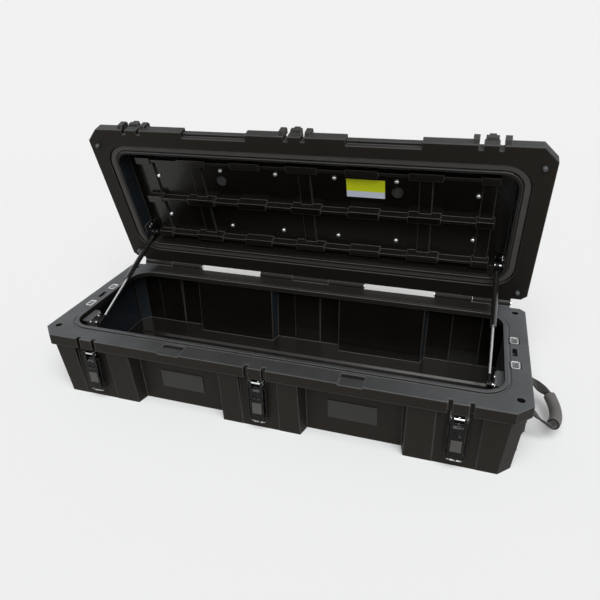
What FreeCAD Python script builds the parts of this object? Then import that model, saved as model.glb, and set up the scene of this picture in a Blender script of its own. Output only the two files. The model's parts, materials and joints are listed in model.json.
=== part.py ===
import FreeCAD, Part
import math
import os
import re
import Sketcher

# Waterproof transport box, lid propped open on two gas springs. Millimetres.
# Origin: centre of the footprint on the floor. +X to the right end, +Y to the hinge, +Z up.

SIZES = {
    # overall
    "box_length": 1100,
    "box_width": 411,
    "base_height": 172,
    "lid_height": 50,
    "lid_open": 73.7,
    # shells
    "wall": 5,
    "rim_height": 26,
    "rim_plate": 10,
    "rim_gap": 0.5,
    "lip_wall": 8,
    "lip_inset": 9,
    "foot_inset": 19,
    "front_corner": 31,
    "rear_corner": 12.5,
    "tub_corner": 25,
    "cavity_corner": 22,
    "fit_gap": 0.05,
    "seat_gap": 0.3,
    "floor_rib_offset": 108,
    "floor_rib_width": 24,
    "floor_rib_height": 4,
    "floor_rib_end": 70,
    # recessed bays between the feet
    "bay_inner": 88,
    "bay_end": 228,
    "bay_slant": 12,
    "bay_top_inset": 40,
    "bay_foot_inset": 47,
    "rear_zone": 62,
    # end panels that carry the handles
    "panel_half": 130,
    "panel_foot": 20,
    "panel_depth": 22,
    # seal ring, its tongue and its channel
    "ring_front": 50.5,
    "ring_end": 47.5,
    "ring_back": 44.5,
    "ring_radius": 50,
    "tongue_width": 9,
    "tongue_height": 3,
    "moat_width": 4.5,
    "moat_depth": 2,
    "channel_width": 18,
    "channel_depth": 9,
    "seal_width": 14,
    "seal_thick": 6,
    # tie-down frames and slots in the short rims
    "eyelet_end": 30,
    "eyelet_shift": 4.5,
    "eyelet_offset": 48.5,
    "eyelet_width": 19,
    "eyelet_length": 27.5,
    "eyelet_depth": 12,
    "eyelet_wall": 3,
    "eyelet_corner": 5,
    "eyelet_slack": 2,
    "end_slot_width": 10,
    "end_slot_length": 31,
    "end_slot_depth": 14,
    "end_block_half": 68,
    "end_block_depth": 22,
    "rim_line": 30,
    "rim_line_width": 2.5,
    "rim_line_depth": 1.5,
    # corner sockets and the lid's pegs
    "socket_end": 24,
    "socket_front": 44,
    "socket_back": 24,
    "socket_radius": 8,
    "socket_depth": 14,
    "socket_boss": 13,
    "peg_radius": 5.5,
    "peg_length": 10,
    # strap notches in the front rim
    "notch_centre": 205,
    "notch_width": 50,
    "notch_reach": 36,
    "notch_depth": 3.5,
    "notch_slot": 9,
    # hinge
    "hinge_behind": 18.2,
    "hinge_above": 3.5,
    "barrel_radius": 10.5,
    "hinge_pin_radius": 4,
    "hinge_pin_head": 6,
    "hinge_pin_cap": 2,
    "knuckle_gap": 1,
    "web_thick": 7,
    "shelf_gap": 0.5,
    "middle_knuckle": 51,
    "middle_group": 147,
    "end_group_start": 217,
    "end_group_split": 124,
    "end_group_stop": 35,
    # lid
    "lid_lip": 26,
    "crown_end": 46,
    "crown_front": 46,
    "crown_back": 42,
    "crown_radius": 42,
    "crown_taper": 7,
    "pan_end": 63,
    "pan_front": 65,
    "pan_back": 59,
    "pan_radius": 38,
    "pan_taper": 3,
    "rib_first": 97,
    "rib_pitch": 117.5,
    "rib_width": 7,
    "rib_depth": 20,
    "rib_end": 100,
    "pad_pitch": 146,
    "pad_end": 120,
    "pad_width": 77,
    "pad_outer_width": 40,
    "pad_thick": 18,
    "pad_depth": 23,
    "strap_groove_width": 30,
    "strap_groove_depth": 4,
    "strap_band_depth": 6,
    "finger_centre": 200,
    "finger_width": 163,
    "finger_reach": 8,
    "finger_under": 15,
    "finger_height": 12,
    # threaded inserts, vents and label on the lid
    "insert_inner": 75,
    "insert_mid": 224,
    "insert_end": 142,
    "insert_front": 125.5,
    "insert_back": 297.5,
    "insert_end_front": 150.5,
    "insert_end_back": 275.5,
    "insert_radius": 5,
    "insert_flange": 7,
    "insert_flange_thick": 1,
    "insert_length": 10,
    "insert_bore": 2.5,
    "insert_bore_depth": 8.5,
    "vent_x": 226,
    "vent_front": 155.5,
    "vent_radius": 14,
    "vent_shank": 8,
    "vent_proud": 4,
    "label_x": 150,
    "label_front": 150.5,
    "label_length": 93,
    "label_width": 50,
    "label_thick": 0.4,
    # latches
    "latch_end": 130,
    "latch_zone": 88,
    "latch_seat": 19.5,
    "latch_plate_thick": 3,
    "latch_plate_margin": 0.3,
    "latch_plate_top": 33,
    "latch_plate_foot": 142,
    "ear_thick": 2.4,
    "ear_radius": 6.5,
    "pivot_drop": 40,
    "pivot_out": 13.5,
    "pivot_radius": 2.5,
    "lever_gap": 1.5,
    "lever_thick": 12.5,
    "lever_half": 15,
    "cheek_thick": 5,
    "lever_top": 36,
    "lever_shoulder": 61,
    "lever_foot": 139,
    "lever_slot_drop": 77,
    "lever_slot_width": 3,
    "lever_slot_height": 9,
    "lever_slot_offset": 5,
    "thumb_top": 92,
    "thumb_foot": 121,
    "thumb_half": 11,
    "thumb_recess": 1.5,
    "thumb_thick": 2.2,
    "thumb_ridges": 6,
    "bail_drop": 53,
    "bail_out": 11.5,
    "bail_reach": 94,
    "bail_side_gap": 0.3,
    "bail_wire": 2,
    "bail_bend": 5,
    "bail_corner": 13,
    "bail_meet": 0.4,
    "bail_swing": 177,
    "groove_width": 9,
    "groove_depth": 11.5,
    "keeper_half": 13,
    "keeper_proud": 6,
    "keeper_root": 14,
    "keeper_foot": 18,
    "keeper_hook": 2.5,
    "keeper_step": 4,
    "guard_width": 13,
    "guard_proud": 8,
    "guard_root": 8,
    "guard_foot": 3,
    "guard_top": 36,
    "guard_slope": 5,
    "rivet_upper": 47,
    "rivet_lower": 130,
    "rivet_shank": 1.85,
    "rivet_head": 3.4,
    "rivet_head_thick": 1.1,
    "rivet_tail_thick": 1.6,
    # name plates
    "plate_length": 108,
    "plate_width": 48,
    "plate_thick": 1.6,
    "plate_centre": 203,
    "plate_drop": 103,
    # handles
    "handle_out": 14.5,
    "handle_height": 81,
    "handle_half": 61,
    "handle_droop": 34,
    "eye_radius": 5.5,
    "webbing_width": 22,
    "webbing_thick": 3,
    "grip_radius": 13,
    "grip_bore": 8.3,
    "grip_half": 50,
    "grip_end_reach": 71,
    "grip_mid_reach": 83,
    "core_radius": 8,
    "core_proud": 19,
    "bracket_half": 130,
    "bracket_height": 46,
    "bracket_centre": 89,
    "bracket_plate": 8,
    "bracket_edge": 3,
    "bracket_ear": 3.5,
    "handle_pin_radius": 3,
    "handle_pin_head": 4.5,
    "handle_pin_cap": 1.5,
    "handle_screw_length": 7.5,
    "screw_end_gap": 0.5,
    "bracket_screw_near": 30,
    "bracket_screw_far": 116,
    "screw_shank": 2.4,
    "screw_length": 12,
    "screw_head": 4.5,
    "screw_head_thick": 2.2,
    # gas springs
    "spring_end": 78,
    "spring_low_front": 123.5,
    "spring_low_drop": 32,
    "spring_high_back": 74.5,
    "spring_high_rise": 33,
    "spring_eye": 8,
    "spring_eye_width": 10,
    "stud_radius": 4,
    "stud_head": 6,
    "stud_head_thick": 2,
    "shank_radius": 4.4,
    "shank_end": 24,
    "rod_radius": 3,
    "tube_radius": 7,
    "tube_bore": 5.5,
    "tube_length": 166,
    "tube_wall_end": 8,
    "tube_end_length": 22,
    "piston_radius": 5.3,
    "piston_length": 10,
    "piston_gap": 2,
    "stud_plate": 2.5,
    "boss_front": 30,
    "boss_back": 24,
    "boss_drop": 62,
    "low_plate_front": 28,
    "low_plate_back": 20,
    "low_plate_drop": 44,
    "low_plate_top": 12,
    "high_plate_front": 30,
    "high_plate_back": 5,
    "high_plate_half": 10,
    "high_screw_reach": 22,
    "high_screw_spread": 5.5,
    "lid_boss_front": 34,
    "lid_boss_rise": 10,
    "spring_room": 4,
    "room_corner": 6,
    "spring_side_gap": 4.6,
}

PLACES = {
    "half_length": "box_length / 2",
    "front": "-box_width / 2",
    "back": "box_width / 2",
    "lip_bottom": "base_height - rim_height",
    "plate_bottom": "base_height - rim_plate",
    "parting": "base_height + rim_gap",
    "lid_lip_top": "parting + lid_lip",
    "lid_top": "parting + lid_height",
    "lid_deep": "lid_top - wall",
    "hinge_y": "back + hinge_behind",
    "hinge_z": "base_height + hinge_above",
    "shelf_end": "hinge_y - barrel_radius - shelf_gap",
    "panel_face": "half_length - lip_inset",
    "latch_face": "front + latch_seat",
    "plate_face": "latch_face - latch_plate_thick",
    "lever_back": "plate_face - lever_gap",
    "lever_front": "lever_back - lever_thick",
    "ear_inner": "lever_half + seat_gap",
    "ear_outer": "ear_inner + ear_thick",
    "latch_plate_half": "ear_outer + latch_plate_margin",
    "bail_half": "ear_outer + bail_side_gap + bail_wire",
    "guard_offset": "bail_half + groove_width / 2 + guard_width / 2",
    "pivot_y": "latch_face - pivot_out",
    "pivot_z": "base_height - pivot_drop",
    "bail_y": "latch_face - bail_out",
    "bail_z": "base_height - bail_drop",
    "bar_y": "bail_y - bail_reach * sin(bail_swing)",
    "bar_z": "bail_z - bail_reach * cos(bail_swing)",
    "keeper_top": "bar_z - bail_wire - seat_gap",
    "ring_x": "half_length - ring_end",
    "ring_y_front": "front + ring_front",
    "ring_y_back": "back - ring_back",
    "handle_x": "panel_face + handle_out",
    "floor_rib_half": "half_length - floor_rib_end",
    "bay_outer": "half_length - bay_end",
    "end_group_near": "half_length - end_group_start",
    "end_group_mid": "half_length - end_group_split",
    "end_group_far": "half_length - end_group_stop",
    "rib_reach": "half_length - rib_end",
    "pad_outer": "half_length - pad_end",
    "insert_outer": "half_length - insert_end",
    "insert_front_row": "front + insert_front",
    "insert_back_row": "front + insert_back",
    "insert_outer_front": "front + insert_end_front",
    "insert_outer_back": "front + insert_end_back",
    "vent_y": "front + vent_front",
    "label_y": "front + label_front",
    "latch_spacing": "half_length - latch_end",
    "spring_x": "half_length - spring_end",
    "spring_low_y": "front + spring_low_front",
    "spring_high_y": "back - spring_high_back",
    "spring_low_z": "base_height - spring_low_drop",
    "spring_high_z": "base_height + spring_high_rise",
    "arm_y": "spring_high_y - hinge_y",
    "arm_z": "spring_high_z - hinge_z",
    "swung_y": "hinge_y + arm_y * cos(lid_open) + arm_z * sin(lid_open)",
    "swung_z": "hinge_z - arm_y * sin(lid_open) + arm_z * cos(lid_open)",
    "spring_length": "sqrt((swung_y - spring_low_y)^2 + (swung_z - spring_low_z)^2)",
    "spring_angle": "atan2(swung_z - spring_low_z; swung_y - spring_low_y)",
    "tube_start": "spring_length - tube_end_length - tube_length",
    "stud_tip": "spring_x + spring_eye_width / 2",
    "boss_face": "stud_tip + stud_plate + spring_side_gap",
    "bay_lean": "atan((bay_foot_inset - bay_top_inset) / lip_bottom)",
    "grip_rise": "grip_mid_reach - grip_end_reach",
    "grip_arc": "(grip_half^2 + grip_rise^2) / (2 * grip_rise)",
}

SIDES = {"left": -1, "right": 1}
LATCHES = {"left": -1, "middle": 0, "right": 1}
ALL_ROUND = FreeCAD.Rotation()
ALONG = {
    "x": FreeCAD.Rotation(FreeCAD.Vector(0, 1, 0), 90),
    "y": FreeCAD.Rotation(FreeCAD.Vector(1, 0, 0), -90),
    "-y": FreeCAD.Rotation(FreeCAD.Vector(1, 0, 0), 90),
    "z": ALL_ROUND,
    "-z": FreeCAD.Rotation(FreeCAD.Vector(1, 0, 0), 180),
    "-x": FreeCAD.Rotation(FreeCAD.Vector(0, 1, 0), -90),
}
UPRIGHT = FreeCAD.Rotation(FreeCAD.Vector(1, 1, 1), 120)
NAME = re.compile(r"[a-z][a-z_0-9]*")

doc = FreeCAD.newDocument("TransportBox")
dims = doc.addObject("Spreadsheet::Sheet", "Dims")
for row, (alias, value) in enumerate(SIZES.items(), start=1):
    dims.set(f"A{row}", alias)
    dims.set(f"B{row}", str(value))
    dims.setAlias(f"B{row}", alias)
doc.recompute()
pieces = []


# Formulas and placing

def bind(formula):
    """Write a formula in plain names as one that reads the sheet."""
    def look_up(match):
        word = match[0]
        if word in SIZES:
            return f"Dims.{word}"
        if word in PLACES:
            return f"({bind(PLACES[word])})"
        return word
    return NAME.sub(look_up, str(formula))


def number(formula):
    value = dims.evalExpression(bind(formula))
    return float(getattr(value, "Value", value))


def place(thing, at, turn=ALL_ROUND):
    thing.Placement = FreeCAD.Placement(FreeCAD.Vector(), turn)
    for axis, formula in zip("xyz", at):
        thing.setExpression(f"Placement.Base.{axis}", bind(formula))
    return thing


def lean(thing, axis, angle):
    """Turn a placed thing about an axis by an angle formula."""
    thing.Placement = FreeCAD.Placement(thing.Placement.Base, FreeCAD.Rotation(FreeCAD.Vector(*axis), 1))
    thing.setExpression("Placement.Rotation.Angle", bind(angle))
    return thing


def swing_open(thing):
    """Turn a piece modelled with the lid shut about the hinge to where the lid stands open."""
    lean(thing, (1, 0, 0), "-lid_open")
    shifts = {"y": "hinge_y - hinge_y * cos(lid_open) - hinge_z * sin(lid_open)",
              "z": "hinge_z + hinge_y * sin(lid_open) - hinge_z * cos(lid_open)"}
    for axis, formula in shifts.items():
        thing.setExpression(f"Placement.Base.{axis}", bind(formula))
    return thing


def piece(thing, label):
    thing.Label = label
    pieces.append(thing)
    return thing


# Solids

def box(name, x, y, z):
    """A block from (low, high) formulas along each axis."""
    block = doc.addObject("Part::Box", name)
    for side, (low, high) in zip(("Length", "Width", "Height"), (x, y, z)):
        block.setExpression(side, bind(f"({high}) - ({low})"))
    return place(block, (x[0], y[0], z[0]))


def mirrored_box(name, sign, x, y, z):
    """A block on the right end, or its mirror image on the left."""
    return box(name, x if sign > 0 else (f"-({x[1]})", f"-({x[0]})"), y, z)


def rod(name, radius, length, at, along="z"):
    cylinder = doc.addObject("Part::Cylinder", name)
    cylinder.setExpression("Radius", bind(radius))
    cylinder.setExpression("Height", bind(length))
    return place(cylinder, at, ALONG[along])


def pin_point(sketch, line, end, x, y):
    """Tie one end of a line to formulas for its two coordinates."""
    for kind, formula in (("DistanceX", x), ("DistanceY", y)):
        index = sketch.addConstraint(Sketcher.Constraint(kind, -1, 1, line, end, number(formula)))
        sketch.setExpression(f"Constraints[{index}]", bind(formula))


def draw_polygon(sketch, points):
    corners = [FreeCAD.Vector(number(x), number(y), 0) for x, y in points]
    count = len(points)
    for i in range(count):
        sketch.addGeometry(Part.LineSegment(corners[i], corners[(i + 1) % count]), False)
    for i in range(count):
        sketch.addConstraint(Sketcher.Constraint("Coincident", i, 2, (i + 1) % count, 1))
    for i, (x, y) in enumerate(points):
        pin_point(sketch, i, 1, x, y)


def draw_circle(sketch, radius, x="0", y="0"):
    centre = FreeCAD.Vector(number(x), number(y), 0)
    ring = sketch.addGeometry(Part.Circle(centre, FreeCAD.Vector(0, 0, 1), number(radius)), False)
    index = sketch.addConstraint(Sketcher.Constraint("Radius", ring, number(radius)))
    sketch.setExpression(f"Constraints[{index}]", bind(radius))
    pin_point(sketch, ring, 3, x, y)


def flat_sketch(name, points, z):
    sketch = doc.addObject("Sketcher::SketchObject", name)
    draw_polygon(sketch, points)
    return place(sketch, ("0", "0", z))


def upright_sketch(name, points, x):
    """A polygon of (y, z) formulas, standing square to X."""
    sketch = doc.addObject("Sketcher::SketchObject", name)
    draw_polygon(sketch, points)
    return place(sketch, (x, "0", "0"), UPRIGHT)


def rounded_sketch(name, x, y, radius, z):
    """A rectangle between (low, high) formulas with rounded corners."""
    sketch = doc.addObject("Sketcher::SketchObject", name)
    (x0, x1), (y0, y1) = [[number(f) for f in pair] for pair in (x, y)]
    r = number(radius)
    up = FreeCAD.Vector(0, 0, 1)
    ends = [((x0 + r, y0), (x1 - r, y0)), ((x1, y0 + r), (x1, y1 - r)),
            ((x1 - r, y1), (x0 + r, y1)), ((x0, y1 - r), (x0, y0 + r))]
    for start, end in ends:
        sketch.addGeometry(Part.LineSegment(FreeCAD.Vector(*start, 0), FreeCAD.Vector(*end, 0)), False)
    quarter = math.pi / 2
    centres = [(x1 - r, y0 + r), (x1 - r, y1 - r), (x0 + r, y1 - r), (x0 + r, y0 + r)]
    for i, centre in enumerate(centres):
        circle = Part.Circle(FreeCAD.Vector(*centre, 0), up, r)
        sketch.addGeometry(Part.ArcOfCircle(circle, (i - 1) * quarter, i * quarter), False)
    for i in range(4):
        sketch.addConstraint(Sketcher.Constraint("Tangent", i, 2, 4 + i, 1))
        sketch.addConstraint(Sketcher.Constraint("Tangent", 4 + i, 2, (i + 1) % 4, 1))
        sketch.addConstraint(Sketcher.Constraint("Vertical" if i % 2 else "Horizontal", i))
    for i in range(1, 4):
        sketch.addConstraint(Sketcher.Constraint("Equal", 4, 4 + i))
    bounds = [("Radius", (4,), radius),
              ("DistanceY", (-1, 1, 0, 1), y[0]), ("DistanceX", (-1, 1, 1, 1), x[1]),
              ("DistanceY", (-1, 1, 2, 1), y[1]), ("DistanceX", (-1, 1, 3, 1), x[0])]
    for kind, where, formula in bounds:
        index = sketch.addConstraint(Sketcher.Constraint(kind, *where, number(formula)))
        sketch.setExpression(f"Constraints[{index}]", bind(formula))
    return place(sketch, ("0", "0", z))


def extrude(name, sketch, length):
    prism = doc.addObject("Part::Extrusion", name)
    prism.Base = sketch
    prism.DirMode = "Normal"
    prism.Solid = True
    prism.setExpression("LengthFwd", bind(length))
    return prism


def loft(name, low, high):
    solid = doc.addObject("Part::Loft", name)
    solid.Sections = [low, high]
    solid.Solid = True
    solid.Ruled = True
    return solid


def fuse(name, parts):
    union = doc.addObject("Part::MultiFuse", name)
    union.Shapes = parts
    union.Refine = True
    return union


def cut(name, base, tools):
    rest = doc.addObject("Part::Cut", name)
    rest.Base = base
    rest.Tool = tools[0] if len(tools) == 1 else fuse(f"{name}_tools", tools)
    rest.Refine = True
    return rest


def group(name, parts):
    compound = doc.addObject("Part::Compound", name)
    compound.Links = parts
    return compound


def copies(name, source, places):
    """Copies of one solid at (position, turn) places, kept as separate solids of one piece."""
    links = []
    for i, (at, turn) in enumerate(places):
        link = doc.addObject("App::Link", f"{name}_{i}")
        link.LinkedObject = source
        links.append(place(link, at, ALONG[turn]))
    return group(name, links)


def mirror(name, source):
    image = doc.addObject("Part::Mirroring", name)
    image.Source = source
    image.Normal = FreeCAD.Vector(1, 0, 0)
    return image


# Bodies drawn as sketches and features

def origin_plane(body, role):
    return next(f for f in body.Origin.OriginFeatures if f.Role == role)


def body_sketch(body, name, role, offset="0"):
    sketch = body.newObject("Sketcher::SketchObject", name)
    sketch.AttachmentSupport = [(origin_plane(body, role), "")]
    sketch.MapMode = "FlatFace"
    sketch.setExpression("AttachmentOffset.Base.z", bind(offset))
    return sketch


def pad(body, sketch, length, midplane=False):
    feature = body.newObject("PartDesign::Pad", f"{sketch.Name}_pad")
    feature.Profile = sketch
    feature.setExpression("Length", bind(length))
    feature.Midplane = midplane
    return feature


def pocket(body, sketch, depth, midplane=False):
    feature = body.newObject("PartDesign::Pocket", f"{sketch.Name}_pocket")
    feature.Profile = sketch
    feature.setExpression("Length", bind(depth))
    feature.Midplane = midplane
    return feature


def turned(name, profile):
    """A body of revolution about its own Z from (radius, height) formulas."""
    body = doc.addObject("PartDesign::Body", name)
    sketch = body_sketch(body, f"{name}_profile", "XZ_Plane")
    draw_polygon(sketch, profile)
    spin = body.newObject("PartDesign::Revolution", f"{name}_spin")
    spin.Profile = sketch
    spin.ReferenceAxis = (sketch, ["V_Axis"])
    spin.Angle = 360
    return body


def domed_profile(shank, length, head, thick):
    """Half section of a screw or rivet: its seat at height 0, its shank below and its head above."""
    return [("0", f"-({length})"), (shank, f"-({length})"), (shank, "0"), (head, "0"),
            (head, f"({thick}) * 0.4"), (f"({head}) * 0.6", thick), ("0", thick)]


# Base shell

def outline(name, inset, front_cut, rear_cut, z):
    """The box seen from above, drawn in by an inset, with its four corners cut off."""
    x, y0, y1 = f"(half_length - ({inset}))", f"(front + ({inset}))", f"(back - ({inset}))"
    right = [(f"{x} - {front_cut}", y0), (x, f"{y0} + {front_cut}"), (x, f"{y1} - {rear_cut}"),
             (f"{x} - {rear_cut}", y1)]
    left = [(f"-({px})", py) for px, py in reversed(right)]
    return flat_sketch(name, right + left, z)


def bay(name, sx, sy, grow, low, high):
    """The space in front of one recessed bay, grown on its inner faces to stand for the wall behind it."""
    def level(tag, inset, z):
        inset = f"({inset} + {grow})"
        points = [(f"bay_inner - {grow}", "front"), (f"bay_outer + {grow}", "front"),
                  (f"bay_outer - bay_slant + {grow}", f"front + {inset}"),
                  (f"bay_inner + bay_slant - {grow}", f"front + {inset}")]
        return flat_sketch(f"{name}_{tag}", [(f"{sx} * ({x})", f"{sy} * ({y})") for x, y in points], z)
    return loft(name, level("low", "bay_foot_inset", low), level("high", "bay_top_inset", high))


def zone(name, centre, width, sy, grow, low, high):
    """The space in front of one latch seat, or of the matching seat at the back."""
    half = f"({width} / 2 + {grow})"
    depth = ("front - 1", f"latch_face + {grow}") if sy > 0 else (f"-(latch_face + {grow})", "back + 1")
    return box(name, (f"{centre} - {half}", f"{centre} + {half}"), depth, (low, high))


def bays_and_zones(tag, grow, low, high, bay_high):
    spaces = [bay(f"bay_{tag}_{i}", sx, sy, grow, "0", bay_high)
              for i, (sx, sy) in enumerate(((1, 1), (-1, 1), (1, -1), (-1, -1)))]
    for where, sign in LATCHES.items():
        centre = f"({sign} * latch_spacing)"
        spaces.append(zone(f"seat_{tag}_{where}", centre, "latch_zone", 1, grow, low, high))
        spaces.append(zone(f"rear_seat_{tag}_{where}", centre, "rear_zone", -1, grow, low, high))
    return spaces


def ring_sketch(name, offset, z):
    """The seal line grown outwards by an offset."""
    return rounded_sketch(name, (f"-(ring_x + {offset})", f"ring_x + {offset}"),
                          (f"ring_y_front - ({offset})", f"ring_y_back + {offset}"),
                          f"ring_radius + {offset}", z)


def ring(name, outer, inner, z, height):
    return cut(name, extrude(f"{name}_outer", ring_sketch(f"{name}_outer_line", outer, z), height),
               [extrude(f"{name}_inner", ring_sketch(f"{name}_inner_line", inner, z), height)])


def knuckle(name, low, high, web_y, web_z):
    """One hinge barrel between two X formulas, with the web that joins it to its shell."""
    barrel = rod(f"{name}_barrel", "barrel_radius", f"({high}) - ({low})", (low, "hinge_y", "hinge_z"), "x")
    return [barrel, box(f"{name}_web", (low, high), web_y, web_z)]


def hinge_bore(name):
    return rod(name, "hinge_pin_radius + fit_gap", "box_length", ("-half_length", "hinge_y", "hinge_z"), "x")


def base_knuckles():
    web_y, web_z = ("back - 2", "hinge_y"), ("base_height - web_thick", "base_height")
    parts = knuckle("base_middle", "-middle_knuckle", "middle_knuckle", web_y, web_z)
    for side, sign in SIDES.items():
        low, high = ("end_group_mid", "end_group_far") if sign > 0 else ("-end_group_far", "-end_group_mid")
        parts += knuckle(f"base_{side}", low, high, web_y, web_z)
    parts.append(box("base_shelf", ("-end_group_far", "end_group_far"), ("back - 2", "shelf_end"), web_z))
    return parts


def socket_places():
    return [(f"{sx} * (half_length - socket_end)", y)
            for sx in (-1, 1) for y in ("front + socket_front", "back - socket_back")]


def eyelet_places():
    return [(f"{sx} * (half_length - eyelet_end)", f"(eyelet_shift + {sy} * eyelet_offset)")
            for sx in (-1, 1) for sy in (-1, 1)]


def latch_grooves(tag, low, high):
    """The two slots beside each latch that let the wire legs pass."""
    slots = []
    for where, sign in LATCHES.items():
        for side in (-1, 1):
            centre = f"({sign} * latch_spacing + {side} * bail_half)"
            slots.append(box(f"groove_{tag}_{where}_{side + 1}",
                             (f"{centre} - groove_width / 2", f"{centre} + groove_width / 2"),
                             ("front - 1", "front + groove_depth"), (low, high)))
    return slots


def tub():
    """The outer form with the bays and seats taken out and the inside hollowed."""
    rim = extrude("rim", outline("rim_line", "0", "front_corner", "rear_corner", "lip_bottom"), "rim_height")
    sides = loft("tub_sides", outline("tub_foot", "foot_inset", "tub_corner", "tub_corner", "0"),
                 outline("tub_top", "lip_inset", "tub_corner", "tub_corner", "lip_bottom"))
    panels = [mirrored_box(f"end_panel_{side}", sign, ("panel_face - panel_depth", "panel_face"),
                           ("-panel_half", "panel_half"), ("panel_foot", "lip_bottom"))
              for side, sign in SIDES.items()]
    hollow = loft("hollow_block",
                  outline("hollow_foot", "foot_inset + wall", "cavity_corner", "cavity_corner", "wall"),
                  outline("hollow_top", "lip_inset + wall", "cavity_corner", "cavity_corner", "plate_bottom"))
    hollow = cut("hollow", hollow, bays_and_zones("wall", "wall", "0", "plate_bottom", "plate_bottom"))
    under = []
    for i, (sx, sy) in enumerate(((1, 1), (-1, 1), (1, -1), (-1, -1))):
        x = ("bay_inner + bay_slant", "bay_outer - bay_slant")
        x = x if sx > 0 else (f"-({x[1]})", f"-({x[0]})")
        y = ("front + lip_wall", "front + bay_top_inset")
        y = y if sy > 0 else (f"-({y[1]})", f"-({y[0]})")
        under.append(box(f"under_rim_{i}", x, y, ("lip_bottom - 1", "plate_bottom")))
    outer = fuse("tub_outer", [rim, sides] + panels)
    spaces = bays_and_zones("space", "0", "-1", "lip_bottom", "lip_bottom")
    return cut("tub", outer, [hollow] + under + spaces)


def floor_ribs():
    """Two low ridges with sloping sides along the inside of the floor."""
    ribs = []
    for tag, side in (("front", -1), ("back", 1)):
        steps = [("1 / 2", "wall - 1"), ("1 / 2", "wall"), ("1 / 4", "wall + floor_rib_height")]
        steps += [(f"-{share}", z) for share, z in reversed(steps)]
        points = [(f"{side} * floor_rib_offset + {share} * floor_rib_width", z) for share, z in steps]
        line = upright_sketch(f"floor_rib_line_{tag}", points, "-floor_rib_half")
        ribs.append(extrude(f"floor_rib_{tag}", line, "2 * floor_rib_half"))
    return ribs


def rim_additions():
    """What stands on or under the rim: tongue, knuckles, bosses."""
    parts = [ring("tongue", "tongue_width / 2", "-tongue_width / 2", "base_height - 1", "tongue_height + 1")]
    parts += base_knuckles()
    for i, (x, y) in enumerate(socket_places()):
        parts.append(rod(f"socket_boss_{i}", "socket_boss", "socket_depth",
                         (x, y, "plate_bottom + 1 - socket_depth")))
    for side, sign in SIDES.items():
        inner = "half_length - eyelet_end - eyelet_width / 2 - wall"
        parts.append(mirrored_box(f"end_block_{side}", sign, (inner, "panel_face - wall / 2"),
                                  ("-end_block_half", "end_block_half"),
                                  ("base_height - end_block_depth", "plate_bottom + 1")))
        parts.append(mirrored_box(f"spring_boss_{side}", sign, ("boss_face", "panel_face - wall / 2"),
                                  ("spring_low_y - boss_front", "spring_low_y + boss_back"),
                                  ("base_height - boss_drop", "plate_bottom + 1")))
    return parts


def rim_cuts():
    """What is let into the rim: mouth, moat, sockets, slots, notches, grooves."""
    mouth = ring_sketch("mouth_line", "-tongue_width / 2", "plate_bottom - 1")
    tools = [extrude("mouth", mouth, "rim_plate + 9")]
    tools.append(ring("moat", "tongue_width / 2 + moat_width", "tongue_width / 2", "base_height - moat_depth",
                      "moat_depth + 1"))
    for i, (x, y) in enumerate(socket_places()):
        tools.append(rod(f"socket_{i}", "socket_radius", "socket_depth + 1",
                         (x, y, "base_height - socket_depth")))
    for i, (x, y) in enumerate(eyelet_places()):
        half = "(eyelet_width / 2 + eyelet_slack)"
        tools.append(box(f"eyelet_seat_{i}", (f"{x} - {half}", f"{x} + {half}"),
                         (f"{y} - eyelet_length / 2", f"{y} + eyelet_length / 2"),
                         ("base_height - eyelet_depth", "base_height + 1")))
    for side, sign in SIDES.items():
        end = "half_length - eyelet_end"
        tools.append(mirrored_box(f"end_slot_{side}", sign,
                                  (f"{end} - end_slot_width / 2", f"{end} + end_slot_width / 2"),
                                  ("eyelet_shift - end_slot_length / 2",
                                   "eyelet_shift + end_slot_length / 2"),
                                  ("base_height - end_slot_depth", "base_height + 1")))
        tools.append(mirrored_box(f"rim_step_{side}", sign,
                                  (f"{end} + eyelet_width / 2 + eyelet_slack", "half_length + 1"),
                                  ("rim_line", "rim_line + rim_line_width"),
                                  ("base_height - rim_line_depth", "base_height + 1")))
        centre = f"({sign} * notch_centre)"
        notch_x = (f"{centre} - notch_width / 2", f"{centre} + notch_width / 2")
        tools.append(box(f"notch_{side}", notch_x, ("front - 1", "front + notch_reach"),
                         ("base_height - notch_depth", "base_height + 1")))
        tools.append(box(f"notch_slot_{side}", notch_x,
                         ("front + notch_reach - notch_slot", "front + notch_reach"),
                         ("plate_bottom - 1", "base_height")))
    return tools + latch_grooves("base", "lip_bottom - 1", "base_height + 1")


def fastener_holes():
    """Rivet holes at the latches and screw holes at the handle and spring brackets."""
    tools = [hinge_bore("base_hinge_bore")]
    for where, sign in LATCHES.items():
        for drop in ("rivet_upper", "rivet_lower"):
            tools.append(rod(f"rivet_hole_{where}_{drop}", "rivet_shank + fit_gap", "wall + 2",
                             (f"{sign} * latch_spacing", "latch_face - 1", f"base_height - {drop}"), "y"))
    for i, (at, turn) in enumerate(handle_screw_places()):
        tools.append(rod(f"handle_screw_hole_{i}", "screw_shank + fit_gap",
                         "bracket_plate + handle_screw_length + screw_end_gap", at,
                         "-x" if turn == "x" else "x"))
    for i, (at, turn) in enumerate(low_screw_places()):
        tools.append(rod(f"low_screw_hole_{i}", "screw_shank + fit_gap", "screw_length + screw_end_gap", at,
                         "-x" if turn == "x" else "x"))
    return tools


def base_shell():
    body = fuse("base_body", [tub()] + floor_ribs() + rim_additions())
    piece(cut("base", body, rim_cuts() + fastener_holes()), "base_shell")


# Pieces let into the base

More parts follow.
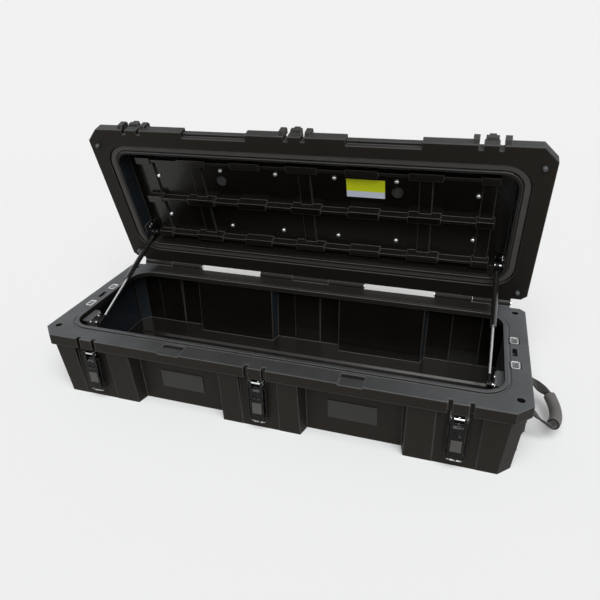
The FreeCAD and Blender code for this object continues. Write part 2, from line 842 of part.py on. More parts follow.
def hinge_pins():
    spans = {"middle": ("-middle_group", "middle_group"), "right": ("end_group_near", "end_group_far"),
             "left": ("-end_group_far", "-end_group_near")}
    links = []
    for where, (low, high) in spans.items():
        length = f"({high}) - ({low})"
        profile = [("0", "-hinge_pin_cap - seat_gap"), ("hinge_pin_head", "-hinge_pin_cap - seat_gap"),
                   ("hinge_pin_head", "-seat_gap"), ("hinge_pin_radius", "-seat_gap"),
                   ("hinge_pin_radius", f"{length} + seat_gap"), ("hinge_pin_head", f"{length} + seat_gap"),
                   ("hinge_pin_head", f"{length} + seat_gap + hinge_pin_cap"),
                   ("0", f"{length} + seat_gap + hinge_pin_cap")]
        links.append(place(turned(f"hinge_pin_{where}", profile), (low, "hinge_y", "hinge_z"), ALONG["x"]))
    piece(group("pins", links), "hinge_pins")


def tie_down_frames():
    def block(tag, inset):
        x, y = f"(eyelet_width / 2 - {inset})", f"(eyelet_length / 2 - {inset})"
        corner = f"eyelet_corner - {inset}"
        line = rounded_sketch(f"tie_down_{tag}_line", (f"-{x}", x), (f"-{y}", y), corner, "-eyelet_depth")
        return extrude(f"tie_down_{tag}", line, "eyelet_depth")
    frame = cut("tie_down", block("outside", "0"), [block("window", "eyelet_wall")])
    spots = [((x, y, "base_height"), "z") for x, y in eyelet_places()]
    piece(copies("frames", frame, spots), "tie_down_frames")


def name_plates():
    """Blank plates lying on the leaning faces of the two front bays."""
    plates = []
    for side, sign in SIDES.items():
        plate = box(f"plate_{side}", ("0", "plate_length"), ("0", "plate_thick"), ("0", "plate_width"))
        foot = "base_height - plate_drop - plate_width / 2"
        face = f"front + bay_foot_inset - ({foot}) * (bay_foot_inset - bay_top_inset) / lip_bottom"
        start = f"{sign} * plate_centre - plate_length / 2"
        place(plate, (start, f"{face} - plate_thick / cos(bay_lean)", foot))
        plates.append(lean(plate, (1, 0, 0), "bay_lean"))
    piece(group("plates", plates), "name_plates")


# Latches

def latch_plate(where, x):
    plate = doc.addObject("PartDesign::Body", f"latch_plate_{where}")
    back = body_sketch(plate, f"latch_back_{where}", "XZ_Plane", "-latch_face")
    low, high = "base_height - latch_plate_foot", "base_height - latch_plate_top"
    draw_polygon(back, [("-latch_plate_half", low), ("latch_plate_half", low), ("latch_plate_half", high),
                        ("-latch_plate_half", high)])
    pad(plate, back, "latch_plate_thick")
    for side, start in (("low", "-ear_outer"), ("high", "ear_inner")):
        ear = body_sketch(plate, f"latch_ear_{where}_{side}", "YZ_Plane", start)
        draw_polygon(ear, [("plate_face + 0.5", "pivot_z + ear_radius"), ("pivot_y", "pivot_z + ear_radius"),
                           ("pivot_y - ear_radius * 0.7", "pivot_z + ear_radius * 0.7"),
                           ("pivot_y - ear_radius", "pivot_z"),
                           ("pivot_y - ear_radius * 0.7", "pivot_z - ear_radius * 0.7"),
                           ("pivot_y", "pivot_z - ear_radius"), ("plate_face + 0.5", "pivot_z - ear_radius")])
        pad(plate, ear, "ear_thick")
    bore = body_sketch(plate, f"latch_bore_{where}", "YZ_Plane")
    draw_circle(bore, "pivot_radius + fit_gap", "pivot_y", "pivot_z")
    pocket(plate, bore, "4 * lever_half", midplane=True)
    holes = body_sketch(plate, f"latch_rivets_{where}", "XZ_Plane", "-plate_face")
    for drop in ("rivet_upper", "rivet_lower"):
        draw_circle(holes, "rivet_shank + fit_gap", "0", f"base_height - {drop}")
    pocket(plate, holes, "latch_plate_thick + 1")
    piece(place(plate, (x, "0", "0")), f"latch_plate_{where}")


def latch_lever(where, x):
    """Flat lever with two cheeks at the top; pivot and wire show in the window between the cheeks."""
    lever = doc.addObject("PartDesign::Body", f"latch_lever_{where}")
    face = body_sketch(lever, f"lever_face_{where}", "XZ_Plane", "-lever_back")
    top, shoulder, foot = [f"base_height - {name}" for name in ("lever_top", "lever_shoulder", "lever_foot")]
    cheek = "(lever_half - cheek_thick)"
    tip = "(lever_half - 4)"
    draw_polygon(face, [(f"-{tip}", foot), (tip, foot), ("lever_half", f"{foot} + 6"), ("lever_half", top),
                        (cheek, top), (cheek, shoulder), (f"-{cheek}", shoulder), (f"-{cheek}", top),
                        ("-lever_half", top), ("-lever_half", f"{foot} + 6")])
    pad(lever, face, "lever_thick")
    thumb = body_sketch(lever, f"lever_thumb_{where}", "XZ_Plane", "-lever_front")
    thumb_z = ("base_height - thumb_foot", "base_height - thumb_top")
    draw_polygon(thumb, [("-thumb_half", thumb_z[0]), ("thumb_half", thumb_z[0]), ("thumb_half", thumb_z[1]),
                         ("-thumb_half", thumb_z[1])])
    pocket(lever, thumb, "thumb_recess")
    for side in (-1, 1):
        slot = body_sketch(lever, f"lever_slot_{where}_{side + 1}", "XZ_Plane", "-lever_front")
        centre = f"{side} * lever_slot_offset"
        x0, x1 = f"{centre} - lever_slot_width / 2", f"{centre} + lever_slot_width / 2"
        z0 = "base_height - lever_slot_drop - lever_slot_height / 2"
        z1 = f"{z0} + lever_slot_height"
        draw_polygon(slot, [(x0, z0), (x1, z0), (x1, z1), (x0, z1)])
        pocket(lever, slot, "lever_thick + 1")
    relief = body_sketch(lever, f"lever_relief_{where}", "YZ_Plane")
    back_edge = "lever_back + 1"
    draw_polygon(relief, [(back_edge, f"{foot} - 1"), ("lever_front + 5", f"{foot} - 1"),
                          ("lever_front + 5", f"{foot} + 12"), (back_edge, f"{foot} + 40")])
    pocket(lever, relief, "4 * lever_half", midplane=True)
    for tag, radius, y, z in (("pivot", "pivot_radius", "pivot_y", "pivot_z"),
                              ("bail", "bail_wire", "bail_y", "bail_z")):
        bore = body_sketch(lever, f"lever_{tag}_{where}", "YZ_Plane")
        draw_circle(bore, f"{radius} + fit_gap", y, z)
        pocket(lever, bore, "4 * lever_half", midplane=True)
    piece(place(lever, (x, "0", "0")), f"latch_lever_{where}")


def thumb_pad(where, x):
    """Soft inlay in the lever's face, with raised cross ridges."""
    inset = "(thumb_half - seat_gap)"
    low, high = "(base_height - thumb_foot + seat_gap)", "(base_height - thumb_top - seat_gap)"
    floor = "(lever_front + thumb_recess)"
    slab = box(f"thumb_slab_{where}", (f"-{inset}", inset), (f"{floor} - thumb_recess", floor), (low, high))
    count = round(number("thumb_ridges"))
    ridges = []
    for i in range(count):
        pitch = f"({high} - {low}) / {count}"
        start = f"{low} + ({i} + 0.2) * {pitch}"
        ridges.append(box(f"thumb_ridge_{where}_{i}", (f"-{inset}", inset), (f"{floor} - thumb_thick", floor),
                          (start, f"{start} + 0.6 * {pitch}")))
    pad_solid = fuse(f"thumb_{where}", [slab] + ridges)
    piece(place(pad_solid, (x, "0", "0")), f"latch_pad_{where}")


def latch_bail(where, x):
    """Wire loop hanging round the lever, its two ends turned in to meet inside the cheeks."""
    bail = doc.addObject("PartDesign::Body", f"latch_bail_{where}")
    path = body_sketch(bail, f"bail_path_{where}", "XZ_Plane", "-bail_y")
    half, top, foot = number("bail_half"), number("bail_z"), number("bail_z - bail_reach")
    bend, corner, meet = number("bail_bend"), number("bail_corner"), number("bail_meet")
    stops = [(meet, top), (half - bend, top), (half, top - bend),
             (half, foot + corner), (half - corner, foot)]
    stops += [(-x, z) for x, z in reversed(stops)]
    middles = {1: (half - bend, top - bend, bend, 0), 3: (half - corner, foot + corner, corner, -1),
               5: (corner - half, foot + corner, corner, -2), 7: (bend - half, top - bend, bend, 1)}
    quarter = math.pi / 2
    up = FreeCAD.Vector(0, 0, 1)
    for i in range(len(stops) - 1):
        if i in middles:
            cx, cz, radius, turn = middles[i]
            circle = Part.Circle(FreeCAD.Vector(cx, cz, 0), up, radius)
            path.addGeometry(Part.ArcOfCircle(circle, turn * quarter, (turn + 1) * quarter), False)
        else:
            start, end = [FreeCAD.Vector(*stop, 0) for stop in stops[i:i + 2]]
            path.addGeometry(Part.LineSegment(start, end), False)
    wire = body_sketch(bail, f"bail_wire_{where}", "YZ_Plane", "bail_meet")
    draw_circle(wire, "bail_wire", "bail_y", "bail_z")
    sweep = body_pipe(bail, f"bail_sweep_{where}", wire, path)
    sweep.Transition = "Transformed"
    piece(place(bail, (x, "0", "0")), f"latch_bail_{where}")


def body_pipe(body, name, profile, path):
    sweep = body.newObject("PartDesign::AdditivePipe", name)
    sweep.Profile = profile
    sweep.Spine = (path, [])
    return sweep


def latch_pins_and_rivets():
    pin = turned("latch_pin", [("0", "-ear_outer"), ("pivot_radius - 0.4", "-ear_outer"),
                               ("pivot_radius", "-ear_outer + 0.4"), ("pivot_radius", "ear_outer - 0.4"),
                               ("pivot_radius - 0.4", "ear_outer"), ("0", "ear_outer")])
    spots = [((f"{sign} * latch_spacing", "pivot_y", "pivot_z"), "x") for sign in LATCHES.values()]
    piece(copies("latch_pin_set", pin, spots), "latch_pivot_pins")
    grip_length = "latch_plate_thick + wall"
    rivet = turned("latch_rivet", [
        ("0", f"-({grip_length} + rivet_tail_thick)"), ("rivet_head", f"-({grip_length} + rivet_tail_thick)"),
        ("rivet_head", f"-({grip_length})"), ("rivet_shank", f"-({grip_length})"), ("rivet_shank", "0"),
        ("rivet_head", "0"), ("rivet_head * 0.6", "rivet_head_thick"), ("0", "rivet_head_thick")])
    spots = [((f"{sign} * latch_spacing", "plate_face", f"base_height - {drop}"), "-y")
             for sign in LATCHES.values() for drop in ("rivet_upper", "rivet_lower")]
    piece(copies("latch_rivet_set", rivet, spots), "latch_rivets")


def latches():
    for where, sign in LATCHES.items():
        x = f"{sign} * latch_spacing"
        latch_plate(where, x)
        latch_lever(where, x)
        thumb_pad(where, x)
        latch_bail(where, x)
    latch_pins_and_rivets()


# Handles

def handle_screw_places():
    """Screw seats on the outer faces of the two handle brackets."""
    return [((f"{sx} * (panel_face + bracket_plate)", f"{sy} * {offset}", "bracket_centre"),
             "x" if sx > 0 else "-x")
            for sx in (-1, 1) for sy in (-1, 1) for offset in ("bracket_screw_near", "bracket_screw_far")]


def handle_bracket():
    """A long plate on the right end, with a pair of ears for each end of the strap."""
    bracket = doc.addObject("PartDesign::Body", "handle_bracket")
    edges = (("back", "panel_face", "0", "bracket_plate - bracket_edge"),
             ("front", "panel_face", "bracket_edge", "bracket_plate"))
    for tag, start, inset, length in edges:
        sheet = body_sketch(bracket, f"bracket_{tag}", "YZ_Plane", start)
        y = f"(bracket_half - {inset})"
        low = f"(bracket_centre - bracket_height / 2 + {inset})"
        high = f"(bracket_centre + bracket_height / 2 - {inset})"
        draw_polygon(sheet, [(f"-{y}", low), (y, low), (y, high), (f"-{y}", high)])
        pad(bracket, sheet, length)
    face = "panel_face + bracket_plate - 0.5"
    for sy in (-1, 1):
        for side in (-1, 1):
            near = "(webbing_width / 2 + seat_gap)"
            start = f"{sy} * handle_half + " + (near if side > 0 else f"-{near} - bracket_ear")
            ear = body_sketch(bracket, f"bracket_ear_{sy + 1}_{side + 1}", "XZ_Plane",
                              f"-({start}) - bracket_ear")
            rise = "eye_radius * 0.7"
            draw_polygon(ear, [(face, "handle_height - eye_radius - 4"),
                               ("handle_x", "handle_height - eye_radius"),
                               (f"handle_x + {rise}", f"handle_height - {rise}"),
                               ("handle_x + eye_radius", "handle_height"),
                               (f"handle_x + {rise}", f"handle_height + {rise}"),
                               ("handle_x", "handle_height + eye_radius"),
                               (face, "handle_height + eye_radius + 4")])
            pad(bracket, ear, "bracket_ear")
    bore = body_sketch(bracket, "bracket_bore", "XZ_Plane")
    draw_circle(bore, "handle_pin_radius + fit_gap", "handle_x", "handle_height")
    pocket(bracket, bore, "2 * bracket_half", midplane=True)
    screws = body_sketch(bracket, "bracket_screws", "YZ_Plane", "panel_face + bracket_plate")
    for sy in (-1, 1):
        for offset in ("bracket_screw_near", "bracket_screw_far"):
            draw_circle(screws, "screw_shank + fit_gap", f"{sy} * {offset}", "bracket_centre")
    pocket(bracket, screws, "bracket_plate + 1")
    return bracket


def handle_fittings():
    right = piece(handle_bracket(), "handle_bracket_right")
    piece(mirror("handle_bracket_image", right), "handle_bracket_left")
    length = "bracket_plate + handle_screw_length"
    screw = turned("handle_screw", domed_profile("screw_shank", length, "screw_head", "screw_head_thick"))
    piece(copies("handle_screw_set", screw, handle_screw_places()), "handle_screws")
    reach = "(webbing_width / 2 + seat_gap + bracket_ear + 0.1)"
    pin = turned("handle_pin", [
        ("0", f"-{reach} - handle_pin_cap"), ("handle_pin_head", f"-{reach} - handle_pin_cap"),
        ("handle_pin_head", f"-{reach}"), ("handle_pin_radius", f"-{reach}"), ("handle_pin_radius", reach),
        ("handle_pin_head", reach), ("handle_pin_head", f"{reach} + handle_pin_cap"),
        ("0", f"{reach} + handle_pin_cap")])
    spots = [((f"{sx} * handle_x", f"{sy} * handle_half", "handle_height"), "y")
             for sx in (-1, 1) for sy in (-1, 1)]
    piece(copies("handle_pin_set", pin, spots), "handle_pins")


def hang(thing):
    """Put a handle piece, modelled reaching out along X from its pivot, at its hanging angle."""
    place(thing, ("handle_x", "0", "handle_height"))
    return lean(thing, (0, 1, 0), "handle_droop")


def grip_path(body, name, proud):
    """The grip's arc, carried past each end by a length along the curve."""
    path = body_sketch(body, name, "XY_Plane")
    radius = number("grip_arc")
    centre = number("grip_mid_reach") - radius
    spread = math.radians(number("asin(grip_half / grip_arc)")) + number(f"({proud}) / grip_arc")
    circle = Part.Circle(FreeCAD.Vector(centre, 0, 0), FreeCAD.Vector(0, 0, 1), radius)
    path.addGeometry(Part.ArcOfCircle(circle, -spread, spread), False)
    return path, centre, radius, spread


def arc_pipe(name, radius, proud):
    """A round bar along the grip's arc."""
    body = doc.addObject("PartDesign::Body", name)
    path, centre, reach, spread = grip_path(body, f"{name}_path", proud)
    profile = body.newObject("Sketcher::SketchObject", f"{name}_section")
    draw_circle(profile, radius)
    start = FreeCAD.Rotation(FreeCAD.Vector(0, 0, 1), -math.degrees(spread))
    at = FreeCAD.Vector(centre, 0, 0) + start.multVec(FreeCAD.Vector(reach, 0, 0))
    profile.Placement = FreeCAD.Placement(at, start.multiply(ALONG["y"]))
    body_pipe(body, f"{name}_sweep", profile, path)
    return body


def handle_strap():
    """Two webbing legs with an eye at the root of each, joined by a round core that runs through the grip."""
    parts = [arc_pipe("strap_core", "core_radius", "core_proud")]
    bores = []
    for sy in (-1, 1):
        tag = "near" if sy < 0 else "far"
        side = (f"{sy} * handle_half - webbing_width / 2", f"{sy} * handle_half + webbing_width / 2")
        parts.append(rod(f"strap_eye_{tag}", "eye_radius", "webbing_width", ("0", side[0], "0"), "y"))
        parts.append(box(f"strap_leg_{tag}", ("0", "grip_end_reach - 1"), side,
                         ("-webbing_thick / 2", "webbing_thick / 2")))
        bores.append(rod(f"strap_bore_{tag}", "handle_pin_radius + fit_gap", "2 * webbing_width",
                         ("0", f"{sy} * handle_half - webbing_width", "0"), "y"))
    return cut("strap", fuse("strap_whole", parts), bores)


def handle_grip():
    return cut("grip", arc_pipe("grip_bar", "grip_radius", "0"), [arc_pipe("grip_hole", "grip_bore", "2")])


def handles():
    handle_fittings()
    for label, solid in (("handle_strap", handle_strap()), ("handle_grip", handle_grip())):
        right = piece(hang(solid), f"{label}_right")
        piece(mirror(f"{label}_image", right), f"{label}_left")


# Lid

def crown():
    def level(tag, taper, z):
        x = f"half_length - crown_end - {taper}"
        return rounded_sketch(f"crown_{tag}", (f"-({x})", x),
                              (f"front + crown_front + {taper}", f"back - crown_back - {taper}"),
                              f"crown_radius - {taper}", z)
    return loft("crown", level("foot", "0", "lid_lip_top - 1"), level("top", "crown_taper", "lid_top"))


def pan():
    """The hollow inside of the lid."""
    def level(tag, taper, z):
        x = f"half_length - pan_end - {taper}"
        return rounded_sketch(f"pan_{tag}", (f"-({x})", x),
                              (f"front + pan_front + {taper}", f"back - pan_back - {taper}"),
                              f"pan_radius - {taper}", z)
    return loft("pan", level("mouth", "0", "parting - 1"), level("floor", "pan_taper", "lid_deep"))


def lid_knuckles():
    web_y, web_z = ("back - 2", "hinge_y"), ("hinge_z + 3", "hinge_z + 3 + web_thick")
    near, far = "middle_knuckle + knuckle_gap", "middle_group"
    parts = knuckle("lid_middle_right", near, far, web_y, web_z)
    parts += knuckle("lid_middle_left", f"-({far})", f"-({near})", web_y, web_z)
    near, far = "end_group_near", "end_group_mid - knuckle_gap"
    parts += knuckle("lid_end_right", near, far, web_y, web_z)
    parts += knuckle("lid_end_left", f"-({far})", f"-({near})", web_y, web_z)
    parts.append(box("lid_shelf", ("-end_group_far", "end_group_far"), ("back - 2", "shelf_end"),
                     ("parting", "parting + web_thick")))
    return parts


def keepers_and_guards():
    """At each latch: the hook that the wire pulls on, and a guard rib on either side."""
    parts = []
    nose, root = "front - keeper_proud", "front + keeper_root"
    notch = "bar_y - bail_wire - seat_gap"
    hook = [(root, "keeper_top"), (notch, "keeper_top"), (notch, "keeper_top + keeper_hook"),
            (nose, "keeper_top + keeper_hook"), (nose, "keeper_top - keeper_step - 1"),
            (root, "keeper_top - keeper_step - 1")]
    block = [(root, "keeper_top - keeper_step"), (nose, "keeper_top - keeper_step"),
             (nose, "parting + keeper_foot + keeper_proud"), ("front", "parting + keeper_foot"),
             (root, "parting + keeper_foot")]
    guard = [("front + guard_root", "parting + guard_foot"), ("front", "parting + guard_foot"),
             ("front - guard_proud", "parting + guard_foot + guard_proud"),
             ("front - guard_proud", "parting + guard_top - guard_slope"),
             ("front - guard_proud + guard_slope", "parting + guard_top"),
             ("front + guard_root", "parting + guard_top")]
    for where, sign in LATCHES.items():
        centre = f"{sign} * latch_spacing"
        shapes = (("block", block, "keeper_half"), ("hook", hook, "(bail_half - bail_corner)"))
        for tag, points, half in shapes:
            line = upright_sketch(f"keeper_{tag}_line_{where}", points, f"{centre} - {half}")
            parts.append(extrude(f"keeper_{tag}_{where}", line, f"2 * {half}"))
        for side in (-1, 1):
            start = f"{centre} + {side} * guard_offset - guard_width / 2"
            line = upright_sketch(f"guard_line_{where}_{side + 1}", guard, start)
            parts.append(extrude(f"guard_{where}_{side + 1}", line, "guard_width"))
    return parts


def pad_columns():
    """Places along the lid of the seven thickened stretches of each rib, with their widths."""
    inner = [(f"{i} * pad_pitch", "pad_width") for i in (-2, -1, 0, 1, 2)]
    return inner + [(f"{i} * pad_outer", "pad_outer_width") for i in (-1, 1)]


def band_columns():
    """Places of the cross bands inside the lid, and of the strap grooves above them."""
    return ["0", "2 * pad_pitch", "-2 * pad_pitch", "pad_outer", "-pad_outer"]


def lid_ribs():
    parts = []
    for row in range(3):
        y = f"(front + rib_first + {row} * rib_pitch)"
        parts.append(box(f"rib_{row}", ("-rib_reach", "rib_reach"),
                         (f"{y} - rib_width / 2", f"{y} + rib_width / 2"),
                         ("lid_deep - rib_depth", "lid_deep + 1")))
        for i, (x, width) in enumerate(pad_columns()):
            parts.append(box(f"rib_pad_{row}_{i}", (f"{x} - {width} / 2", f"{x} + {width} / 2"),
                             (f"{y} - pad_thick / 2", f"{y} + pad_thick / 2"),
                             ("lid_deep - pad_depth", "lid_deep + 1")))
    ends = ("front + rib_first", "front + rib_first + 2 * rib_pitch")
    for i, x in enumerate(band_columns()):
        half = "strap_groove_width / 2"
        parts.append(box(f"band_{i}", (f"{x} - {half}", f"{x} + {half}"), ends,
                         ("lid_deep - strap_band_depth", "lid_deep + 1")))
    return parts


def spring_bosses():
    """Blocks that fill the lid's rear corners beside the springs."""
    return [mirrored_box(f"lid_boss_{side}", sign, ("boss_face", "half_length - pan_end + 1"),
                         ("spring_high_y - lid_boss_front", "back - pan_back + 1"),
                         ("parting + lid_boss_rise", "lid_deep + 1"))
            for side, sign in SIDES.items()]


def spring_rooms():
    """The pan's rear corners squared off for the springs' upper ends, with each outer corner cut across."""
    inner = "spring_x - 2 * spring_eye_width"
    near = "spring_high_y - lid_boss_front"
    far = "spring_high_y + spring_eye + spring_room"
    outline = [(inner, near), ("boss_face", near), ("boss_face", f"{far} - room_corner"),
               ("boss_face - room_corner", far), (inner, far)]
    rooms = []
    for side, sign in SIDES.items():
        points = [(f"{sign} * ({x})", y) for x, y in outline]
        sketch = flat_sketch(f"spring_room_outline_{side}", points, "parting - 1")
        rooms.append(extrude(f"spring_room_{side}", sketch, "lid_deep - parting + 1"))
    return rooms


def lid_cuts():
    half = "channel_width / 2"
    tools = [pan(), ring("channel", half, f"-{half}", "parting - 1", "channel_depth + 1")]
    half = "strap_groove_width / 2"
    for i, x in enumerate(band_columns()):
        tools.append(box(f"strap_groove_{i}", (f"{x} - {half}", f"{x} + {half}"), ("front", "back"),
                         ("lid_top - strap_groove_depth", "lid_top + 1")))
    for side, sign in SIDES.items():
        x = (f"{sign} * finger_centre - finger_width / 2", f"{sign} * finger_centre + finger_width / 2")
        tools.append(box(f"finger_{side}", x, ("front - 1", "front + finger_reach"),
                         ("parting - 1", "lid_lip_top + 1")))
        tools.append(box(f"finger_under_{side}", x, ("front - 1", "front + finger_under"),
                         ("parting - 1", "parting + finger_height")))
    return tools + latch_grooves("lid", "parting - 1", "lid_lip_top + 1")


def insert_places():
    spots = [(f"{sx} * {column}", row) for column in ("insert_inner", "insert_mid") for sx in (-1, 1)
             for row in ("insert_front_row", "insert_back_row")]
    return spots + [(f"{sx} * insert_outer", row) for sx in (-1, 1)
                    for row in ("insert_outer_front", "insert_outer_back")]


def vent_places():
    return [(f"{sx} * vent_x", "vent_y") for sx in (-1, 1)]


def lid_shell():
    line = outline("lid_line", "0", "front_corner", "rear_corner", "parting")
    flange = extrude("lid_flange", line, "lid_lip")
    outer = fuse("lid_outer", [flange, crown()] + lid_knuckles() + keepers_and_guards())
    hollow = cut("lid_hollow", outer, lid_cuts() + spring_rooms())
    ribbed = fuse("lid_ribbed", [hollow] + lid_ribs() + spring_bosses())
    holes = [rod(f"insert_hole_{i}", "insert_radius + fit_gap", "2 * wall + strap_groove_depth",
                 (x, y, "lid_deep - wall")) for i, (x, y) in enumerate(insert_places())]
    holes += [rod(f"vent_hole_{i}", "vent_shank + fit_gap", "2 * wall + strap_groove_depth",
                  (x, y, "lid_deep - wall")) for i, (x, y) in enumerate(vent_places())]
    holes.append(hinge_bore("lid_hinge_bore"))
    for i, (at, turn) in enumerate(high_screw_places()):
        holes.append(rod(f"high_screw_hole_{i}", "screw_shank + fit_gap", "screw_length + screw_end_gap", at,
                         "x" if turn == "-x" else "-x"))
    piece(swing_open(cut("lid", ribbed, holes)), "lid_shell")


def lid_seal():
    seal = ring("seal", "seal_width / 2", "-seal_width / 2", "parting + channel_depth - seal_thick",
                "seal_thick")
    piece(swing_open(seal), "lid_seal")


def lid_fittings():
    """Pegs, threaded inserts, vent plugs and the blank label."""
    peg = turned("peg", [("0", "-peg_length"), ("peg_radius * 0.6", "-peg_length"),
                         ("peg_radius", "-peg_length * 0.6"), ("peg_radius", "0"), ("0", "0")])
    spots = [((x, y, "parting"), "z") for x, y in socket_places()]
    piece(swing_open(copies("peg_set", peg, spots)), "locating_pegs")
    insert = turned("insert", [
        ("0", "-insert_length"), ("insert_radius * 0.7", "-insert_length"),
        ("insert_radius", "-insert_length + 1.5"),
        ("insert_radius", "0"), ("insert_flange", "0"), ("insert_flange", "insert_flange_thick"),
        ("insert_bore", "insert_flange_thick"), ("insert_bore", "insert_flange_thick - insert_bore_depth"),
        ("0", "insert_flange_thick - insert_bore_depth")])
    spots = [((x, y, "lid_top"), "z") for x, y in insert_places()]
    piece(swing_open(copies("insert_set", insert, spots)), "threaded_inserts")
    vent = turned("vent", [("0", "-wall - vent_proud"), ("vent_radius - 2", "-wall - vent_proud"),
                           ("vent_radius", "-wall - vent_proud / 2"), ("vent_radius", "-wall"),
                           ("vent_shank", "-wall"), ("vent_shank", "0"), ("0", "0")])
    spots = [((x, y, "lid_top"), "z") for x, y in vent_places()]
    piece(swing_open(copies("vent_set", vent, spots)), "vent_plugs")
    label = box("label", ("label_x - label_length / 2", "label_x + label_length / 2"),
                ("label_y - label_width / 2", "label_y + label_width / 2"),
                ("lid_deep - label_thick", "lid_deep"))
    piece(swing_open(group("label_set", [label])), "lid_label")


# Gas springs

def low_screw_places():
    """Screw seats on the two brackets low in the tub."""
    rows = ("spring_low_y - low_plate_front + 8", "spring_low_y + low_plate_back - 8")
    height = "base_height - low_plate_top - 8"
    return [((f"{sx} * (boss_face - stud_plate)", y, height), "-x" if sx > 0 else "x")
            for sx in (-1, 1) for y in rows]


def high_screw_places():
    """Screw seats on the two brackets inside the lid, with the lid shut."""
    return [((f"{sx} * (boss_face - stud_plate)", "spring_high_y - high_screw_reach",
              f"spring_high_z + {sz} * high_screw_spread"), "-x" if sx > 0 else "x")
            for sx in (-1, 1) for sz in (-1, 1)]


def spring_bracket(name, sign, face, y, z, screws, stud):
    """A flat plate on a boss face, drilled for its screws and its stud."""
    whole = mirrored_box(f"{name}_plate", sign, (f"{face} - stud_plate", face), y, z)
    drill = (f"{sign} * ({face} - 2 * stud_plate)", "x" if sign > 0 else "-x")
    holes = [rod(f"{name}_hole_{i}", "screw_shank + fit_gap", "3 * stud_plate", (drill[0], *at[1:]), drill[1])
             for i, (at, turn) in enumerate(screws)]
    holes.append(rod(f"{name}_bore", "stud_radius + fit_gap", "3 * stud_plate", (drill[0], *stud), drill[1]))
    return cut(name, whole, holes)


def spring_fittings():
    """Brackets, studs and screws at the lower and upper ends of the gas springs."""
    low = ("spring_low_y", "spring_low_z")
    plates = [spring_bracket(f"low_bracket_{side}", sign, "boss_face",
                             ("spring_low_y - low_plate_front", "spring_low_y + low_plate_back"),
                             ("base_height - low_plate_drop", "base_height - low_plate_top"),
                             low_screw_places()[:2], low) for side, sign in SIDES.items()]
    piece(group("low_brackets", plates), "spring_base_brackets")
    stub = "boss_face - stud_tip - seat_gap"
    stud = turned("low_stud", [("0", "0"), ("stud_radius", "0"), ("stud_radius", f"{stub} - 0.5"),
                               ("stud_radius - 0.5", stub), ("0", stub)])
    spots = [((f"{sx} * boss_face", *low), "-x" if sx > 0 else "x") for sx in (-1, 1)]
    piece(copies("low_studs", stud, spots), "spring_base_studs")
    profile = domed_profile("screw_shank", "screw_length", "screw_head", "screw_head_thick")
    screw = turned("plate_screw", profile)
    piece(copies("low_screws", screw, low_screw_places()), "spring_base_screws")

    high = ("spring_high_y", "spring_high_z")
    plates = [spring_bracket(f"high_bracket_{side}", sign, "boss_face",
                             ("spring_high_y - high_plate_front", "spring_high_y + high_plate_back"),
                             ("spring_high_z - high_plate_half", "spring_high_z + high_plate_half"),
                             high_screw_places()[:2], high) for side, sign in SIDES.items()]
    piece(swing_open(group("high_brackets", plates)), "spring_lid_brackets")
    reach = "boss_face - stud_tip + spring_eye_width + seat_gap"
    stud = turned("high_stud", [("0", "0"), ("stud_radius", "0"), ("stud_radius", reach),
                                ("stud_head", reach), ("stud_head", f"{reach} + stud_head_thick * 0.5"),
                                ("stud_head * 0.6", f"{reach} + stud_head_thick"),
                                ("0", f"{reach} + stud_head_thick")])
    spots = [((f"{sx} * boss_face", *high), "-x" if sx > 0 else "x") for sx in (-1, 1)]
    piece(swing_open(copies("high_studs", stud, spots)), "spring_lid_studs")
    piece(swing_open(copies("high_screws", screw, high_screw_places())), "spring_lid_screws")


def eye_end(name, height, shank_low, shank_high):
    """An eye across X at a height on the spring's own axis, with a shank between two heights."""
    half = "spring_eye_width / 2"
    body = fuse(f"{name}_whole", [
        rod(f"{name}_eye", "spring_eye", "spring_eye_width", (f"-{half}", "0", height), "x"),
        rod(f"{name}_shank", "shank_radius", f"({shank_high}) - ({shank_low})", ("0", "0", shank_low))])
    return cut(name, body, [rod(f"{name}_bore", "stud_radius + fit_gap", "2 * spring_eye_width",
                                ("-spring_eye_width", "0", height), "x")])


def gas_springs():
    """Each part stands along its own Z from the lower stud, then leans over to the lid."""
    head = "tube_start + tube_wall_end + piston_gap"
    rod_body = turned("spring_rod", [("0", "shank_end"), ("rod_radius", "shank_end"), ("rod_radius", head),
                                     ("piston_radius", head), ("piston_radius", f"{head} + piston_length"),
                                     ("0", f"{head} + piston_length")])
    end = "tube_start + tube_length"
    tube = turned("spring_tube", [
        ("rod_radius + fit_gap", "tube_start"), ("tube_radius - 1", "tube_start"),
        ("tube_radius", "tube_start + 1.5"), ("tube_radius", f"{end} - 1.5"), ("tube_radius - 1", end),
        ("0", end), ("0", f"{end} - tube_wall_end"),
        ("tube_bore", f"{end} - tube_wall_end"), ("tube_bore", "tube_start + tube_wall_end"),
        ("rod_radius + fit_gap", "tube_start + tube_wall_end")])
    parts = {"spring_rod": rod_body, "spring_tube": tube,
             "spring_rod_end": eye_end("rod_eye", "0", "spring_eye - 2", "shank_end"),
             "spring_tube_end": eye_end("tube_eye", "spring_length", end, "spring_length - spring_eye + 2")}
    for label, solid in parts.items():
        place(solid, ("spring_x", "spring_low_y", "spring_low_z"))
        right = piece(lean(solid, (1, 0, 0), "spring_angle - 90 deg"), f"{label}_right")
        piece(mirror(f"{label}_image", right), f"{label}_left")


def check_and_write():
    doc.recompute()
    for thing in doc.Objects:
        if {"Invalid", "Error"} & set(thing.State):
            raise RuntimeError(f"{thing.Name} failed: {thing.State}")
    os.makedirs("parts", exist_ok=True)
    for thing in pieces:
        if thing.Shape.isNull() or not thing.Shape.isValid():
            raise RuntimeError(f"{thing.Label} has no valid shape")
    for thing in pieces:
        thing.Shape.exportStep(os.path.join("parts", f"{thing.Label}.step"))
        print(thing.Label, len(thing.Shape.Solids), "solids", round(thing.Shape.Volume), "mm3")


